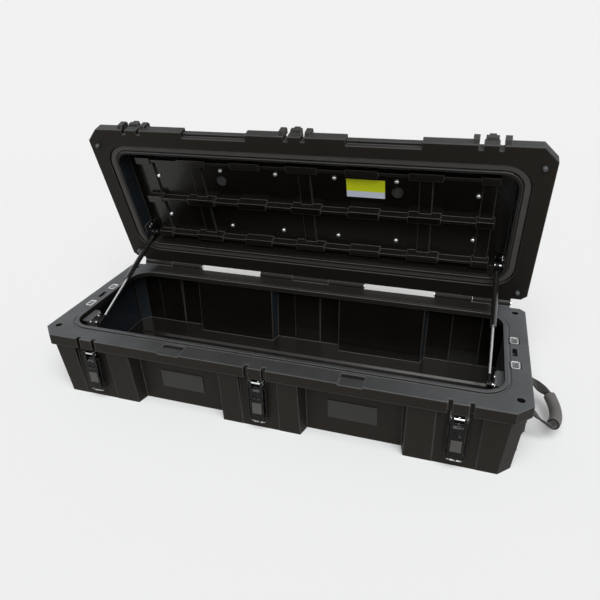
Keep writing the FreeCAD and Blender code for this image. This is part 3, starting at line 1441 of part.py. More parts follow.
base_shell()
hinge_pins()
tie_down_frames()
name_plates()
latches()
handles()
lid_shell()
lid_seal()
lid_fittings()
spring_fittings()
gas_springs()
check_and_write()
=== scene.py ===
"""The look of an open waterproof transport box: moulded shells, steel fittings and webbing handles."""
import json
import math

import bmesh
import bpy
from mathutils import Matrix, Vector


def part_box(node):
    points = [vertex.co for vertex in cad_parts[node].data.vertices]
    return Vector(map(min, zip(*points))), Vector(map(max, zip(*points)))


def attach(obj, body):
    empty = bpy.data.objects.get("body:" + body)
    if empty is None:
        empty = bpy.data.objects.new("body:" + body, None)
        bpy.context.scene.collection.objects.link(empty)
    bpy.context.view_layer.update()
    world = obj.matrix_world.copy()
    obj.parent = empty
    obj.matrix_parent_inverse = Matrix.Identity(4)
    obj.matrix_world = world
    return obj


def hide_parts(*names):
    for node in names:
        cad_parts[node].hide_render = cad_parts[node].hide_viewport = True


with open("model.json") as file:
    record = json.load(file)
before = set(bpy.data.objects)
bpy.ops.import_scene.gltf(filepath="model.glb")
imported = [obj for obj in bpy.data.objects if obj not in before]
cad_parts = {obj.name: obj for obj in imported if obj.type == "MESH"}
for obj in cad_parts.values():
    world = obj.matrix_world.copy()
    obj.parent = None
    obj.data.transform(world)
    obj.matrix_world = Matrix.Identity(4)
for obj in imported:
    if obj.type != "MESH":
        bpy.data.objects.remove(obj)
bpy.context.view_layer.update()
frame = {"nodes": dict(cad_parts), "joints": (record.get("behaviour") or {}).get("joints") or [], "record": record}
nodes = frame["nodes"]
joints = {joint["name"]: joint for joint in frame["joints"]}
openings = {space["name"]: space["box_m"] for space in frame["record"]["physics"]["openings"]}

MM = 0.001

# Stage
PAPER = 0.885
FLOOR_TONE = (0.89, 0.885, 0.88, 1)
FLOOR_BOUNCE = (0.42, 0.38, 0.34, 1)
AMBIENT = (0.16, 0.15, 0.14, 1)
SUN_STRENGTH = 3.4
SUN_SPREAD = math.radians(60)
SUN_FROM = Vector((0.2, -0.6, 0.8))
SUN_COLOUR = (0.96, 0.985, 1.0)
FLOOR_RADIUS = 7.0
FLOOR_CLEAR = (1.5, 4.5)

# Camera, fitted to the photograph's frame
CAMERA_AT = Vector((0.3886, -1.0639, 0.8399))
CAMERA_YAW, CAMERA_PITCH, CAMERA_ROLL = -0.3208, -0.4735, -0.0284
FOCAL_PIXELS, FRAME_PIXELS = 544.28, 600
OPTICAL_CENTRE = (298.11, 288.07)
SENSOR = 36.0

# Places on the tub
INSIDE_BELOW = 160 * MM
END_FACE = 525 * MM
REAR_RIM = 150 * MM
# Where the painted sheen on the rim starts, and where it is lightest towards the ends
TOP_LIGHT_FROM, TOP_LIGHT_FULL = 120 * MM, 540 * MM

# Places on the lid, with the lid shut
PAN_HALF = 489 * MM
PAN_ACROSS = (-142.5 * MM, 148.5 * MM)
PAN_DEEP = (173.2 * MM, 219.2 * MM)
LABEL_SPLIT = -47 * MM
VENT_AT = (226 * MM, -50 * MM)

# Handle webbing
WEBBING_WIDTH = 22 * MM
WEBBING_LAYER = 1.5 * MM
WOVEN_EDGE = ((1.0, 0.3), (0.97, 0.8))
FULL_SHARE, FULL_STEPS = 0.93, 14
EYE_RADIUS = 4.5 * MM
EYE_STEPS = 8
LAYERS_MEET = 17 * MM
SEW_REACH = 18 * MM
STITCH_LENGTH = 2.2 * MM
STITCH_PITCH = 3.2 * MM
STITCH_WIDE = 0.45 * MM
STITCH_DEEP = 0.4 * MM
STITCHES_ACROSS = 5
SEAM_SHARE = 0.36
LEG_STRAIGHT = 30 * MM
MOUTH_STRAIGHT = 20 * MM
LAYER_LIFT = 0.52 * WEBBING_LAYER
SAG = 3 * MM
TILT = math.radians(35)
TILTED_BY = 0.4
ROLL_RADIUS = 7 * MM
ROLL_FROM, ROLL_OVER = 0.45, 0.5
GRIP_HALF = 50 * MM
GRIP_END_REACH = 71 * MM
GRIP_MID_REACH = 83 * MM
GRIP_HIDDEN = 10 * MM


# Node graphs

class Graph:
    """A material's nodes, with one short call for each kind that is used here."""

    def __init__(self, name, **constants):
        self.material = bpy.data.materials.new(name)
        self.material.use_nodes = True
        self.tree = self.material.node_tree
        self.tree.nodes.clear()
        self.shader = self.new("ShaderNodeBsdfPrincipled")
        for socket, value in constants.items():
            self.shader.inputs[socket.replace("_", " ")].default_value = value
        output = self.new("ShaderNodeOutputMaterial")
        self.tree.links.new(self.shader.outputs["BSDF"], output.inputs["Surface"])
        spot = self.new("ShaderNodeTexCoord")
        self.place = spot.outputs["Object"]
        self.facing = spot.outputs["Normal"]
        self.flat = spot.outputs["UV"]

    def new(self, kind, **settings):
        node = self.tree.nodes.new(kind)
        for key, value in settings.items():
            setattr(node, key, value)
        return node

    def feed(self, node, **values):
        """Set a node's inputs from sockets or plain values, by input name or index."""
        for key, value in values.items():
            by_index = key[0] == "i" and key[1:].isdigit()
            socket = node.inputs[int(key[1:])] if by_index else node.inputs[key]
            if isinstance(value, bpy.types.NodeSocket):
                self.tree.links.new(value, socket)
            else:
                socket.default_value = value
        return node

    def set(self, **sockets):
        for name, value in sockets.items():
            self.tree.links.new(value, self.shader.inputs[name.replace("_", " ")])
        return self.material

    def math(self, operation, a, b=0.0):
        return self.feed(self.new("ShaderNodeMath", operation=operation), i0=a, i1=b).outputs[0]

    def span(self, value, low, high, start=0.0, end=1.0, smooth=True):
        """Carry a value from one span to another, clamped."""
        kind = "SMOOTHSTEP" if smooth else "LINEAR"
        node = self.new("ShaderNodeMapRange", interpolation_type=kind)
        return self.feed(node, i0=value, i1=low, i2=high, i3=start, i4=end).outputs[0]

    def mix(self, share, a, b):
        """Mix two colours."""
        node = self.new("ShaderNodeMix", data_type="RGBA")
        return self.feed(node, i0=share, i6=a, i7=b).outputs[2]

    def blend(self, share, a, b):
        """Mix two numbers."""
        node = self.new("ShaderNodeMix", data_type="FLOAT")
        return self.feed(node, i0=share, i2=a, i3=b).outputs[0]

    def stretch(self, scale, turn=(0, 0, 0), move=(0, 0, 0), source=None):
        node = self.new("ShaderNodeMapping")
        self.feed(node, Vector=source or self.place, Scale=scale, Rotation=turn, Location=move)
        return node.outputs[0]

    def noise(self, scale, detail=2.0, rough=0.5, source=None):
        node = self.new("ShaderNodeTexNoise")
        self.feed(node, Vector=source or self.place, Scale=scale, Detail=detail, Roughness=rough)
        return node.outputs[0]

    def cells(self, scale, source=None):
        node = self.new("ShaderNodeTexVoronoi", feature="SMOOTH_F1")
        return self.feed(node, Vector=source or self.place, Scale=scale).outputs["Distance"]

    def axes(self, source=None):
        return self.feed(self.new("ShaderNodeSeparateXYZ"), Vector=source or self.place).outputs

    def bump(self, height, distance, strength=1.0, under=None):
        node = self.feed(self.new("ShaderNodeBump"), Height=height, Distance=distance, Strength=strength)
        if under:
            self.feed(node, Normal=under)
        return node.outputs[0]

    def rounded(self, radius):
        """The surface's normal with its edges eased over a radius."""
        return self.feed(self.new("ShaderNodeBevel", samples=6), Radius=radius).outputs[0]

    def turned(self, normal, full=0.80):
        """0 on open faces, up to 1 where the eased and true normals' cosine falls to full, along edges."""
        true_normal = self.new("ShaderNodeNewGeometry").outputs["Normal"]
        node = self.new("ShaderNodeVectorMath", operation="DOT_PRODUCT")
        return self.span(self.feed(node, i0=normal, i1=true_normal).outputs["Value"], 0.99, full)

    def edges(self, radius):
        return self.turned(self.rounded(radius))


def grey(value, warm=0.0):
    """A neutral, leaning to brown by a small share, or to blue by a negative one."""
    return (value * (1 + warm), value, value * (1 - warm), 1)


# Where a surface is on the box

def inside_tub(g):
    """1 on the tub's inner walls and floor, 0 on its outside and rim."""
    half_y = openings["base_cavity"][1][1]
    x, y, z = g.axes()
    nx, ny, nz = g.axes(g.facing)
    under_rim = g.span(z, INSIDE_BELOW, INSIDE_BELOW - 3 * MM)
    floor = g.span(nz, 0.4, 0.6)
    long_wall = g.span(g.math("MULTIPLY", ny, y), -0.02, -0.05)
    shallow = g.span(g.math("ABSOLUTE", y), half_y + 12 * MM, half_y + 6 * MM)
    cross_wall = g.math("MULTIPLY", g.span(g.math("ABSOLUTE", nx), 0.4, 0.6), shallow)
    facing_in = g.span(g.math("MULTIPLY", nx, x), END_FACE, END_FACE - 30 * MM)
    cross_wall = g.math("MULTIPLY", cross_wall, facing_in)
    inner = g.math("MAXIMUM", g.math("MAXIMUM", floor, long_wall), cross_wall)
    return g.math("MULTIPLY", inner, under_rim)


def lid_shut(g):
    """Places on the lid as they are with the lid turned shut."""
    swing = joints["lid_hinge"]
    pivot = Vector(swing["pos_m"])
    turn = math.radians(-swing["range_deg"][0])
    return g.stretch((1, 1, 1), turn=(turn, 0, 0), move=pivot - Matrix.Rotation(turn, 3, "X") @ pivot)


def inside_lid(g):
    """1 in the lid's pan, 0 on its flange and outside."""
    x, y, z = g.axes(lid_shut(g))
    share = g.span(g.math("ABSOLUTE", x), PAN_HALF, PAN_HALF - MM)
    for part, (low, high) in ((y, PAN_ACROSS), (z, PAN_DEEP)):
        between = g.math("MULTIPLY", g.span(part, low, low + MM), g.span(part, high, high - MM))
        share = g.math("MULTIPLY", share, between)
    return share


# Materials

def moulded_shell(name, inside, top_light_share):
    """Black moulded plastic: grained outside with a share of pale painted sheen on upward faces, lighter towards
    the ends, smooth and glossy within; painted shade on the rear rim, edge wear with painted highlights along the
    edges, and bluish painted light on inner faces turned to the ends.
    """
    g = Graph(name, Specular_IOR_Level=0.17, Specular_Tint=(1.0, 0.93, 0.86, 1), Coat_Roughness=0.16)
    within = inside(g)
    cloud = g.noise(6, 3)
    eased = g.rounded(g.blend(within, 4.0 * MM, 3.0 * MM))
    edge = g.turned(eased, 0.9)
    # Edge wear broken by noise; on the outside its colour is also a painted highlight along the edges
    wear_and_highlight = g.math("MULTIPLY", edge, g.span(g.noise(45, 4, 0.6), 0.15, 0.45))
    scuff_field = g.noise(1, 3, 0.6, g.stretch((26, 240, 240), turn=(0.3, 0.5, 0.2)))
    scuffs = g.math("MULTIPLY", g.span(scuff_field, 0.64, 0.74), g.span(g.noise(3.5, 2), 0.5, 0.62))
    x, y = g.axes()[:2]
    normal = g.axes(g.facing)
    # Painted bluish light on faces turned to the ends
    painted_side_light = g.span(g.math("ABSOLUTE", normal[0]), 0.35, 0.9)
    # Painted sheen of the overhead light on upward faces, patchy by noise
    top_light_patches = g.span(g.noise(11, 4, 0.65), 0.25, 0.75, 0.7 * top_light_share, top_light_share)
    painted_top_light = g.math("MULTIPLY", g.span(normal[2], 0.35, 0.95), top_light_patches)
    # The painted sheen on top grows lighter towards the ends
    to_ends = g.span(g.math("ABSOLUTE", x), TOP_LIGHT_FROM, TOP_LIGHT_FULL)
    # Painted shade on the rear rim under the lid, fading out near the ends
    shaded = g.math("MULTIPLY", g.span(y, REAR_RIM, REAR_RIM + 12 * MM), g.span(to_ends, 0.98, 0.9))
    # The film colour is the painted sheen on top, lighter towards the ends, and dark in the painted shade at the
    # rear
    film = g.mix(shaded, g.mix(to_ends, grey(0.042, -0.01), grey(0.105, -0.05)), grey(0.013, 0.1))
    outer = g.mix(cloud, grey(0.006, 0.22), grey(0.010, 0.2))
    # Paint the sheen of light onto the upward outer faces
    outer = g.mix(painted_top_light, outer, film)
    outer = g.mix(g.math("MULTIPLY", scuffs, 0.25), outer, grey(0.06, 0.03))
    # Colour for the worn edges and their painted highlight, lighter where the painted sheen lies
    line = g.mix(painted_top_light, grey(0.085, 0.02), grey(0.17, -0.04))
    outer = g.mix(g.math("MULTIPLY", wear_and_highlight, 0.8), outer, line)
    inner = g.mix(cloud, grey(0.0022, 0.2), grey(0.0042, 0.18))
    # A fainter painted sheen on the upward inner faces
    inner = g.mix(painted_top_light, inner, grey(0.008, 0.16))
    # Bluish painted light on the inner faces turned to the ends
    inner = g.mix(painted_side_light, inner, grey(0.022, -0.22))
    # Painted highlight along the inner edges, concave ones as well
    inner = g.mix(g.math("MULTIPLY", edge, 0.9), inner, grey(0.085, 0.12))
    satin = g.blend(g.noise(70, 4, 0.6), 0.48, 0.62)
    satin = g.math("SUBTRACT", satin, g.math("MULTIPLY", wear_and_highlight, 0.08))
    gloss = g.blend(g.noise(18, 3), 0.20, 0.32)
    waves = g.bump(g.noise(13, 2), 1.4 * MM, 0.5, eased)
    pebbles = g.math("MULTIPLY", g.cells(620), g.math("SUBTRACT", 1.0, within))
    grain = g.bump(pebbles, 0.16 * MM, 0.75, waves)
    return g.set(Base_Color=g.mix(within, outer, inner), Roughness=g.blend(within, satin, gloss),
                 Coat_Weight=g.math("MULTIPLY", within, 0.5), Normal=grain)


def trim_plastic(name, tone, warm=0.05):
    """Smaller mouldings with a fine grain and a painted highlight along their edges."""
    g = Graph(name, Specular_IOR_Level=0.4)
    colour = g.mix(g.noise(30, 3), grey(tone * 0.8, warm), grey(tone * 1.25, warm))
    # Painted highlight along the edges
    colour = g.mix(g.math("MULTIPLY", g.edges(1.0 * MM), 0.4), colour, grey(tone + 0.06))
    rough = g.blend(g.noise(160, 3), 0.32, 0.48)
    return g.set(Base_Color=colour, Roughness=rough, Normal=g.bump(g.cells(900), 0.08 * MM, 0.6))


def vent_plastic(name):
    """Round plugs with a raised ring and radial slots about each plug's own middle."""
    g = Graph(name, Specular_IOR_Level=0.4)
    x, y = g.axes(lid_shut(g))[:2]
    aside = g.math("SUBTRACT", g.math("ABSOLUTE", x), VENT_AT[0])
    along = g.math("SUBTRACT", y, VENT_AT[1])
    out = g.math("SQRT", g.math("ADD", g.math("MULTIPLY", aside, aside), g.math("MULTIPLY", along, along)))
    rings = g.math("SINE", g.math("MULTIPLY", out, 2 * math.pi / (5 * MM)))
    spokes = g.math("COSINE", g.math("MULTIPLY", g.math("ARCTAN2", along, aside), 8))
    height = g.math("ADD", rings, g.math("MULTIPLY", spokes, 0.5))
    # Painted light and shade on the relief: raised rings and spokes lighter, the slots between them darker
    colour = g.mix(g.span(height, -1.0, 1.4), grey(0.010, 0.08), grey(0.034, 0.02))
    # Painted highlight along the edges
    colour = g.mix(g.math("MULTIPLY", g.edges(1.2 * MM), 0.6), colour, grey(0.08))
    return g.set(Base_Color=colour, Roughness=g.blend(g.noise(200, 3), 0.26, 0.4),
                 Normal=g.bump(height, 0.6 * MM, 0.8))


def plate_plastic(name):
    """A blank satin plate with a faint sheen, a fine matte grain and a painted highlight along its cut edges."""
    g = Graph(name, Specular_IOR_Level=0.35)
    colour = g.mix(g.noise(40, 4), grey(0.014, 0.07), grey(0.020, 0.06))
    # Painted highlight along the cut edges
    colour = g.mix(g.math("MULTIPLY", g.edges(1.0 * MM), 0.6), colour, grey(0.12))
    rough = g.blend(g.noise(220, 2), 0.4, 0.54)
    return g.set(Base_Color=colour, Roughness=rough, Normal=g.bump(g.noise(1500, 2), 0.05 * MM, 0.5))


def label_film(name):
    """A blank printed film: lime above, pale blue below, with a soft sheen and a little rubbing."""
    g = Graph(name, Specular_IOR_Level=0.4)
    y = g.axes(lid_shut(g))[1]
    lime = g.mix(g.noise(60, 3), (0.72, 0.84, 0.012, 1), (0.80, 0.90, 0.02, 1))
    pale = g.mix(g.noise(50, 3), (0.70, 0.78, 0.95, 1), (0.78, 0.85, 0.98, 1))
    colour = g.mix(g.span(y, LABEL_SPLIT - 0.3 * MM, LABEL_SPLIT + 0.3 * MM), lime, pale)
    patch_share = g.math("MULTIPLY", g.edges(1.2 * MM), g.span(g.noise(160, 4, 0.6), 0.4, 0.6))
    colour = g.mix(g.math("MULTIPLY", patch_share, 0.6), colour, grey(0.25, 0.05))
    return g.set(Base_Color=colour, Roughness=g.blend(g.noise(90, 3), 0.3, 0.44),
                 Normal=g.bump(g.noise(45, 2), 0.15 * MM, 0.5))


def black_steel(name, wear_and_highlight=None):
    """Black coated steel, bright bare metal along its edges from wear, and more bright bare metal where its second
    argument says, painted there as a highlight.
    """
    g = Graph(name, Specular_IOR_Level=0.14)
    patchy = g.span(g.noise(180, 4, 0.6), 0.38, 0.58)
    bare_and_highlit = g.edges(0.7 * MM)
    if wear_and_highlight:
        # The given mask adds bright bare metal that stands for a painted highlight
        bare_and_highlit = g.math("MAXIMUM", bare_and_highlit, wear_and_highlight(g))
    patch_share = g.math("MULTIPLY", bare_and_highlit, patchy)
    colour = g.mix(g.noise(60, 4), grey(0.003, 0.08), grey(0.007, 0.06))
    colour = g.mix(patch_share, colour, grey(0.5, 0.02))
    rough = g.blend(g.noise(260, 3), 0.22, 0.36)
    return g.set(Base_Color=colour, Metallic=g.math("MULTIPLY", patch_share, 0.9), Roughness=rough,
                 Normal=g.bump(g.noise(700, 2), 0.05 * MM, 0.5))


def upper_faces(g):
    """A light share on the upper faces, rubbed by hands and the bail and also a painted highlight of the light
    from above.
    """
    return g.span(g.axes(g.facing)[2], 0.8, 0.97, 0.0, 0.4)


def bail_loop(g):
    """1 on the end of the bail that hooks over the lid's keeper, where bright bare metal is painted as a
    highlight.
    """
    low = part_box("latch_bail_middle")[0].z
    return g.span(g.axes()[2], low + 7 * MM, low + 3 * MM)


def gloss_paint(name):
    """Deep black enamel on a drawn tube, with slight flow and dust."""
    g = Graph(name, Specular_IOR_Level=0.5, Coat_Weight=0.6, Coat_Roughness=0.06)
    colour = g.mix(g.noise(90, 4), grey(0.004, 0.1), grey(0.009, 0.08))
    colour = g.mix(g.span(g.noise(400, 3), 0.66, 0.76), colour, grey(0.05))
    return g.set(Base_Color=colour, Roughness=g.blend(g.noise(120, 3), 0.14, 0.26),
                 Normal=g.bump(g.noise(60, 2), 0.08 * MM, 0.5))


def bright_steel(name, tone, rough, brush):
    """Plated or polished metal with fine drawn lines, as close along each axis as brush says."""
    g = Graph(name, Metallic=1.0)
    lines = g.noise(1, 3, 0.6, g.stretch(brush))
    colour = g.mix(lines, grey(tone * 0.86), grey(min(1.0, tone * 1.08)))
    colour = g.mix(g.span(g.noise(25, 4, 0.6), 0.58, 0.75), colour, grey(tone * 0.72, 0.02))
    return g.set(Base_Color=colour, Roughness=g.blend(lines, rough * 0.7, rough * 1.3),
                 Normal=g.bump(lines, 0.02 * MM, 0.5))


def seal_foam(name):
    """Soft closed-cell rubber with fine pores."""
    g = Graph(name, Specular_IOR_Level=0.3)
    pores = g.cells(1300)
    colour = g.mix(g.noise(40, 4), grey(0.050, 0.07), grey(0.072, 0.06))
    # Painted shade in the pores
    colour = g.mix(g.span(pores, 0.25, 0.05), colour, grey(0.024))
    return g.set(Base_Color=colour, Roughness=g.blend(g.noise(300, 2), 0.56, 0.74),
                 Normal=g.bump(pores, 0.15 * MM, 0.7))


def grip_rubber(name):
    """Grey pebbled rubber, darker along its edges, with painted shade at its cut ends."""
    g = Graph(name, Specular_IOR_Level=0.35)
    colour = g.mix(g.noise(35, 4), grey(0.085, 0.06), grey(0.14, 0.03))
    colour = g.mix(g.math("MULTIPLY", g.edges(1.5 * MM), 0.6), colour, grey(0.03))
    # Painted shade: the cut ends are near black, as the hollow inside is in shade
    cut_end = g.span(g.math("ABSOLUTE", g.axes(g.facing)[1]), 0.7, 0.9)
    colour = g.mix(cut_end, colour, grey(0.012, 0.1))
    return g.set(Base_Color=colour, Roughness=g.blend(g.noise(240, 3), 0.48, 0.66),
                 Normal=g.bump(g.cells(700), 0.12 * MM, 0.7))


def woven_webbing(name):
    """Flat black webbing: columns of raised yarns along its length, each half a step from the next."""
    g = Graph(name, Specular_IOR_Level=0.25, Sheen_Weight=0.25, Sheen_Roughness=0.4)
    along, across = g.axes(g.flat)[:2]
    column = g.math("DIVIDE", across, 1.4 * MM)
    half_steps = g.math("MULTIPLY", g.math("FLOOR", column), math.pi / 2)
    yarn = g.math("SINE", g.math("ADD", g.math("MULTIPLY", along, math.pi / (1.9 * MM)), half_steps))
    ridge = g.math("SINE", g.math("MULTIPLY", column, math.pi))
    weave = g.math("MULTIPLY", g.math("ABSOLUTE", yarn), g.math("ABSOLUTE", ridge))
    # Painted light on the raised yarns and painted shade between them
    colour = g.mix(weave, grey(0.008, 0.12), grey(0.036, 0.06))
    fuzz = g.span(g.noise(900, 3, 0.7), 0.55, 0.75)
    colour = g.mix(g.math("MULTIPLY", fuzz, 0.35), colour, grey(0.075, 0.08))
    return g.set(Base_Color=colour, Roughness=g.blend(weave, 0.85, 0.62),
                 Normal=g.bump(weave, 0.4 * MM, 0.9))


def sewing_thread(name):
    """Twisted polyester thread, a little lighter than the webbing."""
    g = Graph(name, Specular_IOR_Level=0.35)
    plies = g.noise(1, 2, 0.5, g.stretch((900, 2600, 2600), turn=(0.4, 0.3, 0.5)))
    # Painted light and shade along the twisted plies
    colour = g.mix(plies, grey(0.03, 0.06), grey(0.085, 0.04))
    return g.set(Base_Color=colour, Roughness=g.blend(plies, 0.6, 0.42), Normal=g.bump(plies, 0.1 * MM, 0.7))


# Placing materials on the frame's nodes

def dress(material, *names):
    for name in names:
        mesh = nodes[name].data
        mesh.materials.clear()
        mesh.materials.append(material)


def each(stem):
    """The names of all nodes that begin with a stem."""
    return [name for name in nodes if name.startswith(stem)]


def soften(names, width, segments=2, angle=math.radians(28)):
    """Round the sharp edges of some nodes with modifiers, leaving their meshes as they are."""
    for name in names:
        piece = nodes[name]
        weld = piece.modifiers.new("weld", "WELD")
        weld.merge_threshold = 0.002 * MM
        bevel = piece.modifiers.new("bevel", "BEVEL")
        bevel.width = width
        bevel.segments = segments
        bevel.limit_method = "ANGLE"
        bevel.angle_limit = angle
        bevel.use_clamp_overlap = False
        bevel.miter_outer = "MITER_ARC"
        shade = piece.modifiers.new("shade", "WEIGHTED_NORMAL")
        shade.keep_sharp = True


def dress_all():
    dress(moulded_shell("base_plastic", inside_tub, 1.0), "base_shell")
    dress(moulded_shell("lid_plastic", inside_lid, 0.5), "lid_shell")
    dress(trim_plastic("bracket_plastic", 0.014), *each("handle_bracket"))
    dress(trim_plastic("pad_rubber", 0.060, 0.06), *each("latch_pad"))
    dress(trim_plastic("peg_plastic", 0.060, -0.06), "locating_pegs")
    dress(vent_plastic("vent_plastic"), "vent_plugs")
    dress(plate_plastic("plate_plastic"), "name_plates")
    dress(label_film("label_film"), "lid_label")
    dress(black_steel("latch_steel", upper_faces), *each("latch_plate"), *each("latch_lever"))
    dress(black_steel("bail_steel", bail_loop), *each("latch_bail"))
    dress(black_steel("black_steel"), "handle_screws", "spring_lid_brackets", *each("spring_rod_end"),
          *each("spring_tube_end"))
    dress(gloss_paint("tube_enamel"), "spring_tube_right", "spring_tube_left")
    dress(bright_steel("plated_steel", 0.72, 0.24, (40, 900, 900)), "hinge_pins", "latch_rivets",
          "latch_pivot_pins", "handle_pins", "spring_base_studs", "spring_base_screws", "spring_lid_studs",
          "spring_lid_screws")
    dress(bright_steel("frame_steel", 0.92, 0.4, (40, 900, 900)), "tie_down_frames")
    dress(bright_steel("bracket_steel", 0.62, 0.36, (300, 300, 40)), "spring_base_brackets")
    dress(bright_steel("rod_steel", 0.5, 0.42, (500, 60, 60)), "spring_rod_right", "spring_rod_left")
    dress(bright_steel("insert_alloy", 0.85, 0.3, (300, 300, 300)), "threaded_inserts")
    dress(seal_foam("seal_foam"), "lid_seal")
    dress(grip_rubber("grip_rubber"), *each("handle_grip"))


def soften_all():
    soften(["lid_seal"], 2.4 * MM, 4)
    soften(each("handle_grip"), 1.4 * MM, 3, math.radians(50))
    soften([*each("latch_lever"), "tie_down_frames", *each("handle_bracket")], 0.7 * MM)
    soften([*each("latch_plate"), *each("latch_pad")], 0.4 * MM)
    soften(["name_plates", "threaded_inserts", "vent_plugs"], 0.4 * MM)


# Handle straps: webbing doubled round each pin, sewn, then rolled into the grip

def ease(share):
    share = min(1.0, max(0.0, share))
    return share * share * (3 - 2 * share)


class HandleSpace:
    """A handle's own axes: out from the pin towards the grip, along the pin, and up off the strap."""

    def __init__(self, side):
        self.pin = Vector(joints[f"handle_swing_{side}"]["pos_m"])
        low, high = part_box(f"handle_grip_{side}")
        self.out = (low + high) / 2 - self.pin
        self.out.y = 0
        self.out.normalize()
        self.along = Vector((0, 1, 0))
        self.up = Vector((-self.out.z, 0, self.out.x))
        if self.up.z < 0:
            self.up.negate()
        self.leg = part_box(f"handle_strap_{side}")[1].y - WEBBING_WIDTH / 2

    def world(self, point):
        return self.pin + self.out * point.x + self.along * point.y + self.up * point.z


def leg_course(leg, steps=30):
    """Middle line of one leg's sewn part as (place, heading, share), from the sewing into the grip's end."""
    rise = GRIP_MID_REACH - GRIP_END_REACH
    radius = (GRIP_HALF ** 2 + rise ** 2) / (2 * rise)
    tilt = math.asin(GRIP_HALF / radius)
    inward = Vector((math.sin(tilt), -math.cos(tilt), 0))
    mouth = Vector((GRIP_END_REACH, GRIP_HALF, 0))
    ends = [Vector((LAYERS_MEET, leg, 0)), Vector((LAYERS_MEET + LEG_STRAIGHT, leg, 0)),
            mouth - MOUTH_STRAIGHT * inward, mouth]
    course = []
    for step in range(steps + 1):
        t = step / steps
        weights = ((1 - t) ** 3, 3 * t * (1 - t) ** 2, 3 * t * t * (1 - t), t ** 3)
        slopes = (-3 * (1 - t) ** 2, 3 * (1 - t) * (1 - 3 * t), 3 * t * (2 - 3 * t), 3 * t * t)
        place = sum((end * weight for end, weight in zip(ends, weights)), Vector())
        heading = sum((end * slope for end, slope in zip(ends, slopes)), Vector()).normalized()
        place.z = -SAG * math.sin(math.pi * t)
        course.append((place, heading, t))
    course.append((mouth + GRIP_HIDDEN * inward, inward, 1.0))
    return course


def leg_axes(heading, t):
    """The webbing's width and its upper face at a share of the sewn part, tilting to the handle's middle."""
    tilt = TILT * ease(t / TILTED_BY)
    level = Vector((-heading.y, heading.x, 0))
    up = Vector((0, 0, 1))
    return level * math.cos(tilt) + up * math.sin(tilt), up * math.cos(tilt) - level * math.sin(tilt)


def strap_stations(leg):
    """Stations of one webbing length as (place, across, curl): out of the grip, round the pin and back."""
    upper, lower = [], []
    for place, heading, t in leg_course(leg):
        rolled = ease((t - ROLL_FROM) / ROLL_OVER)
        across, rise = leg_axes(heading, t)
        lift = rise * ((1 - rolled) * LAYER_LIFT + rolled * ROLL_RADIUS)
        upper.append((place + lift, across, rolled / ROLL_RADIUS))
        lower.append((place - lift, across, rolled / ROLL_RADIUS))
    pinwise = Vector((0, 1, 0))
    for step in range(EYE_STEPS):
        share = ease(step / EYE_STEPS)
        lift = EYE_RADIUS + (LAYER_LIFT - EYE_RADIUS) * share
        reach = LAYERS_MEET * step / EYE_STEPS
        upper.insert(step, (Vector((reach, leg, lift)), pinwise, 0.0))
        lower.insert(step, (Vector((reach, leg, -lift)), pinwise, 0.0))
    loop = []
    for step in range(1, 2 * EYE_STEPS):
        angle = math.pi / 2 + math.pi * step / (2 * EYE_STEPS)
        loop.append((Vector((EYE_RADIUS * math.cos(angle), leg, EYE_RADIUS * math.sin(angle))), pinwise, 0.0))
    return upper[::-1] + loop + lower


def cross_section():
    """(across, share of thickness) over the webbing's width, thinning at its woven edges."""
    half = WEBBING_WIDTH / 2
    full = [(half * (-1 + 2 * step / FULL_STEPS) * FULL_SHARE, 1.0) for step in range(FULL_STEPS + 1)]
    edge = [(half * reach, share) for reach, share in WOVEN_EDGE]
    return [(-across, share) for across, share in edge] + full + edge[::-1]


def add_webbing(mesh, uv, space, leg, mirror):
    """One length of webbing as a closed skin, with its length and width as its flat coordinates."""
    stations = strap_stations(leg)
    places = [place for place, across, curl in stations]
    run = 0.0
    rows = []
    for index, (place, across, curl) in enumerate(stations):
        before, after = places[max(index - 1, 0)], places[min(index + 1, len(places) - 1)]
        heading = (after - before).normalized()
        face = across.cross(heading).normalized()
        run += (place - places[max(index - 1, 0)]).length
        outer, inner = [], []
        for aside, share in cross_section():
            angle = curl * aside
            offset = across * aside
            if curl > 1e-6:
                offset = across * (math.sin(angle) / curl) - face * ((1 - math.cos(angle)) / curl)
            skin = (face * math.cos(angle) + across * math.sin(angle)) * (WEBBING_LAYER / 2 * share)
            for row, point in ((outer, place + offset + skin), (inner, place + offset - skin)):
                point.y *= mirror
                row.append((mesh.verts.new(space.world(point)), (run, aside)))
        rows.append(outer + inner[::-1])
    for first, second in zip(rows, rows[1:]):
        count = len(first)
        for index in range(count):
            corners = (first[index], first[(index + 1) % count], second[(index + 1) % count], second[index])
            skin_face = mesh.faces.new([vertex for vertex, flat in corners])
            skin_face.smooth = True
            for loop, (vertex, flat) in zip(skin_face.loops, corners):
                loop[uv].uv = flat
    mesh.faces.new([vertex for vertex, flat in rows[0]])
    mesh.faces.new([vertex for vertex, flat in rows[-1]])


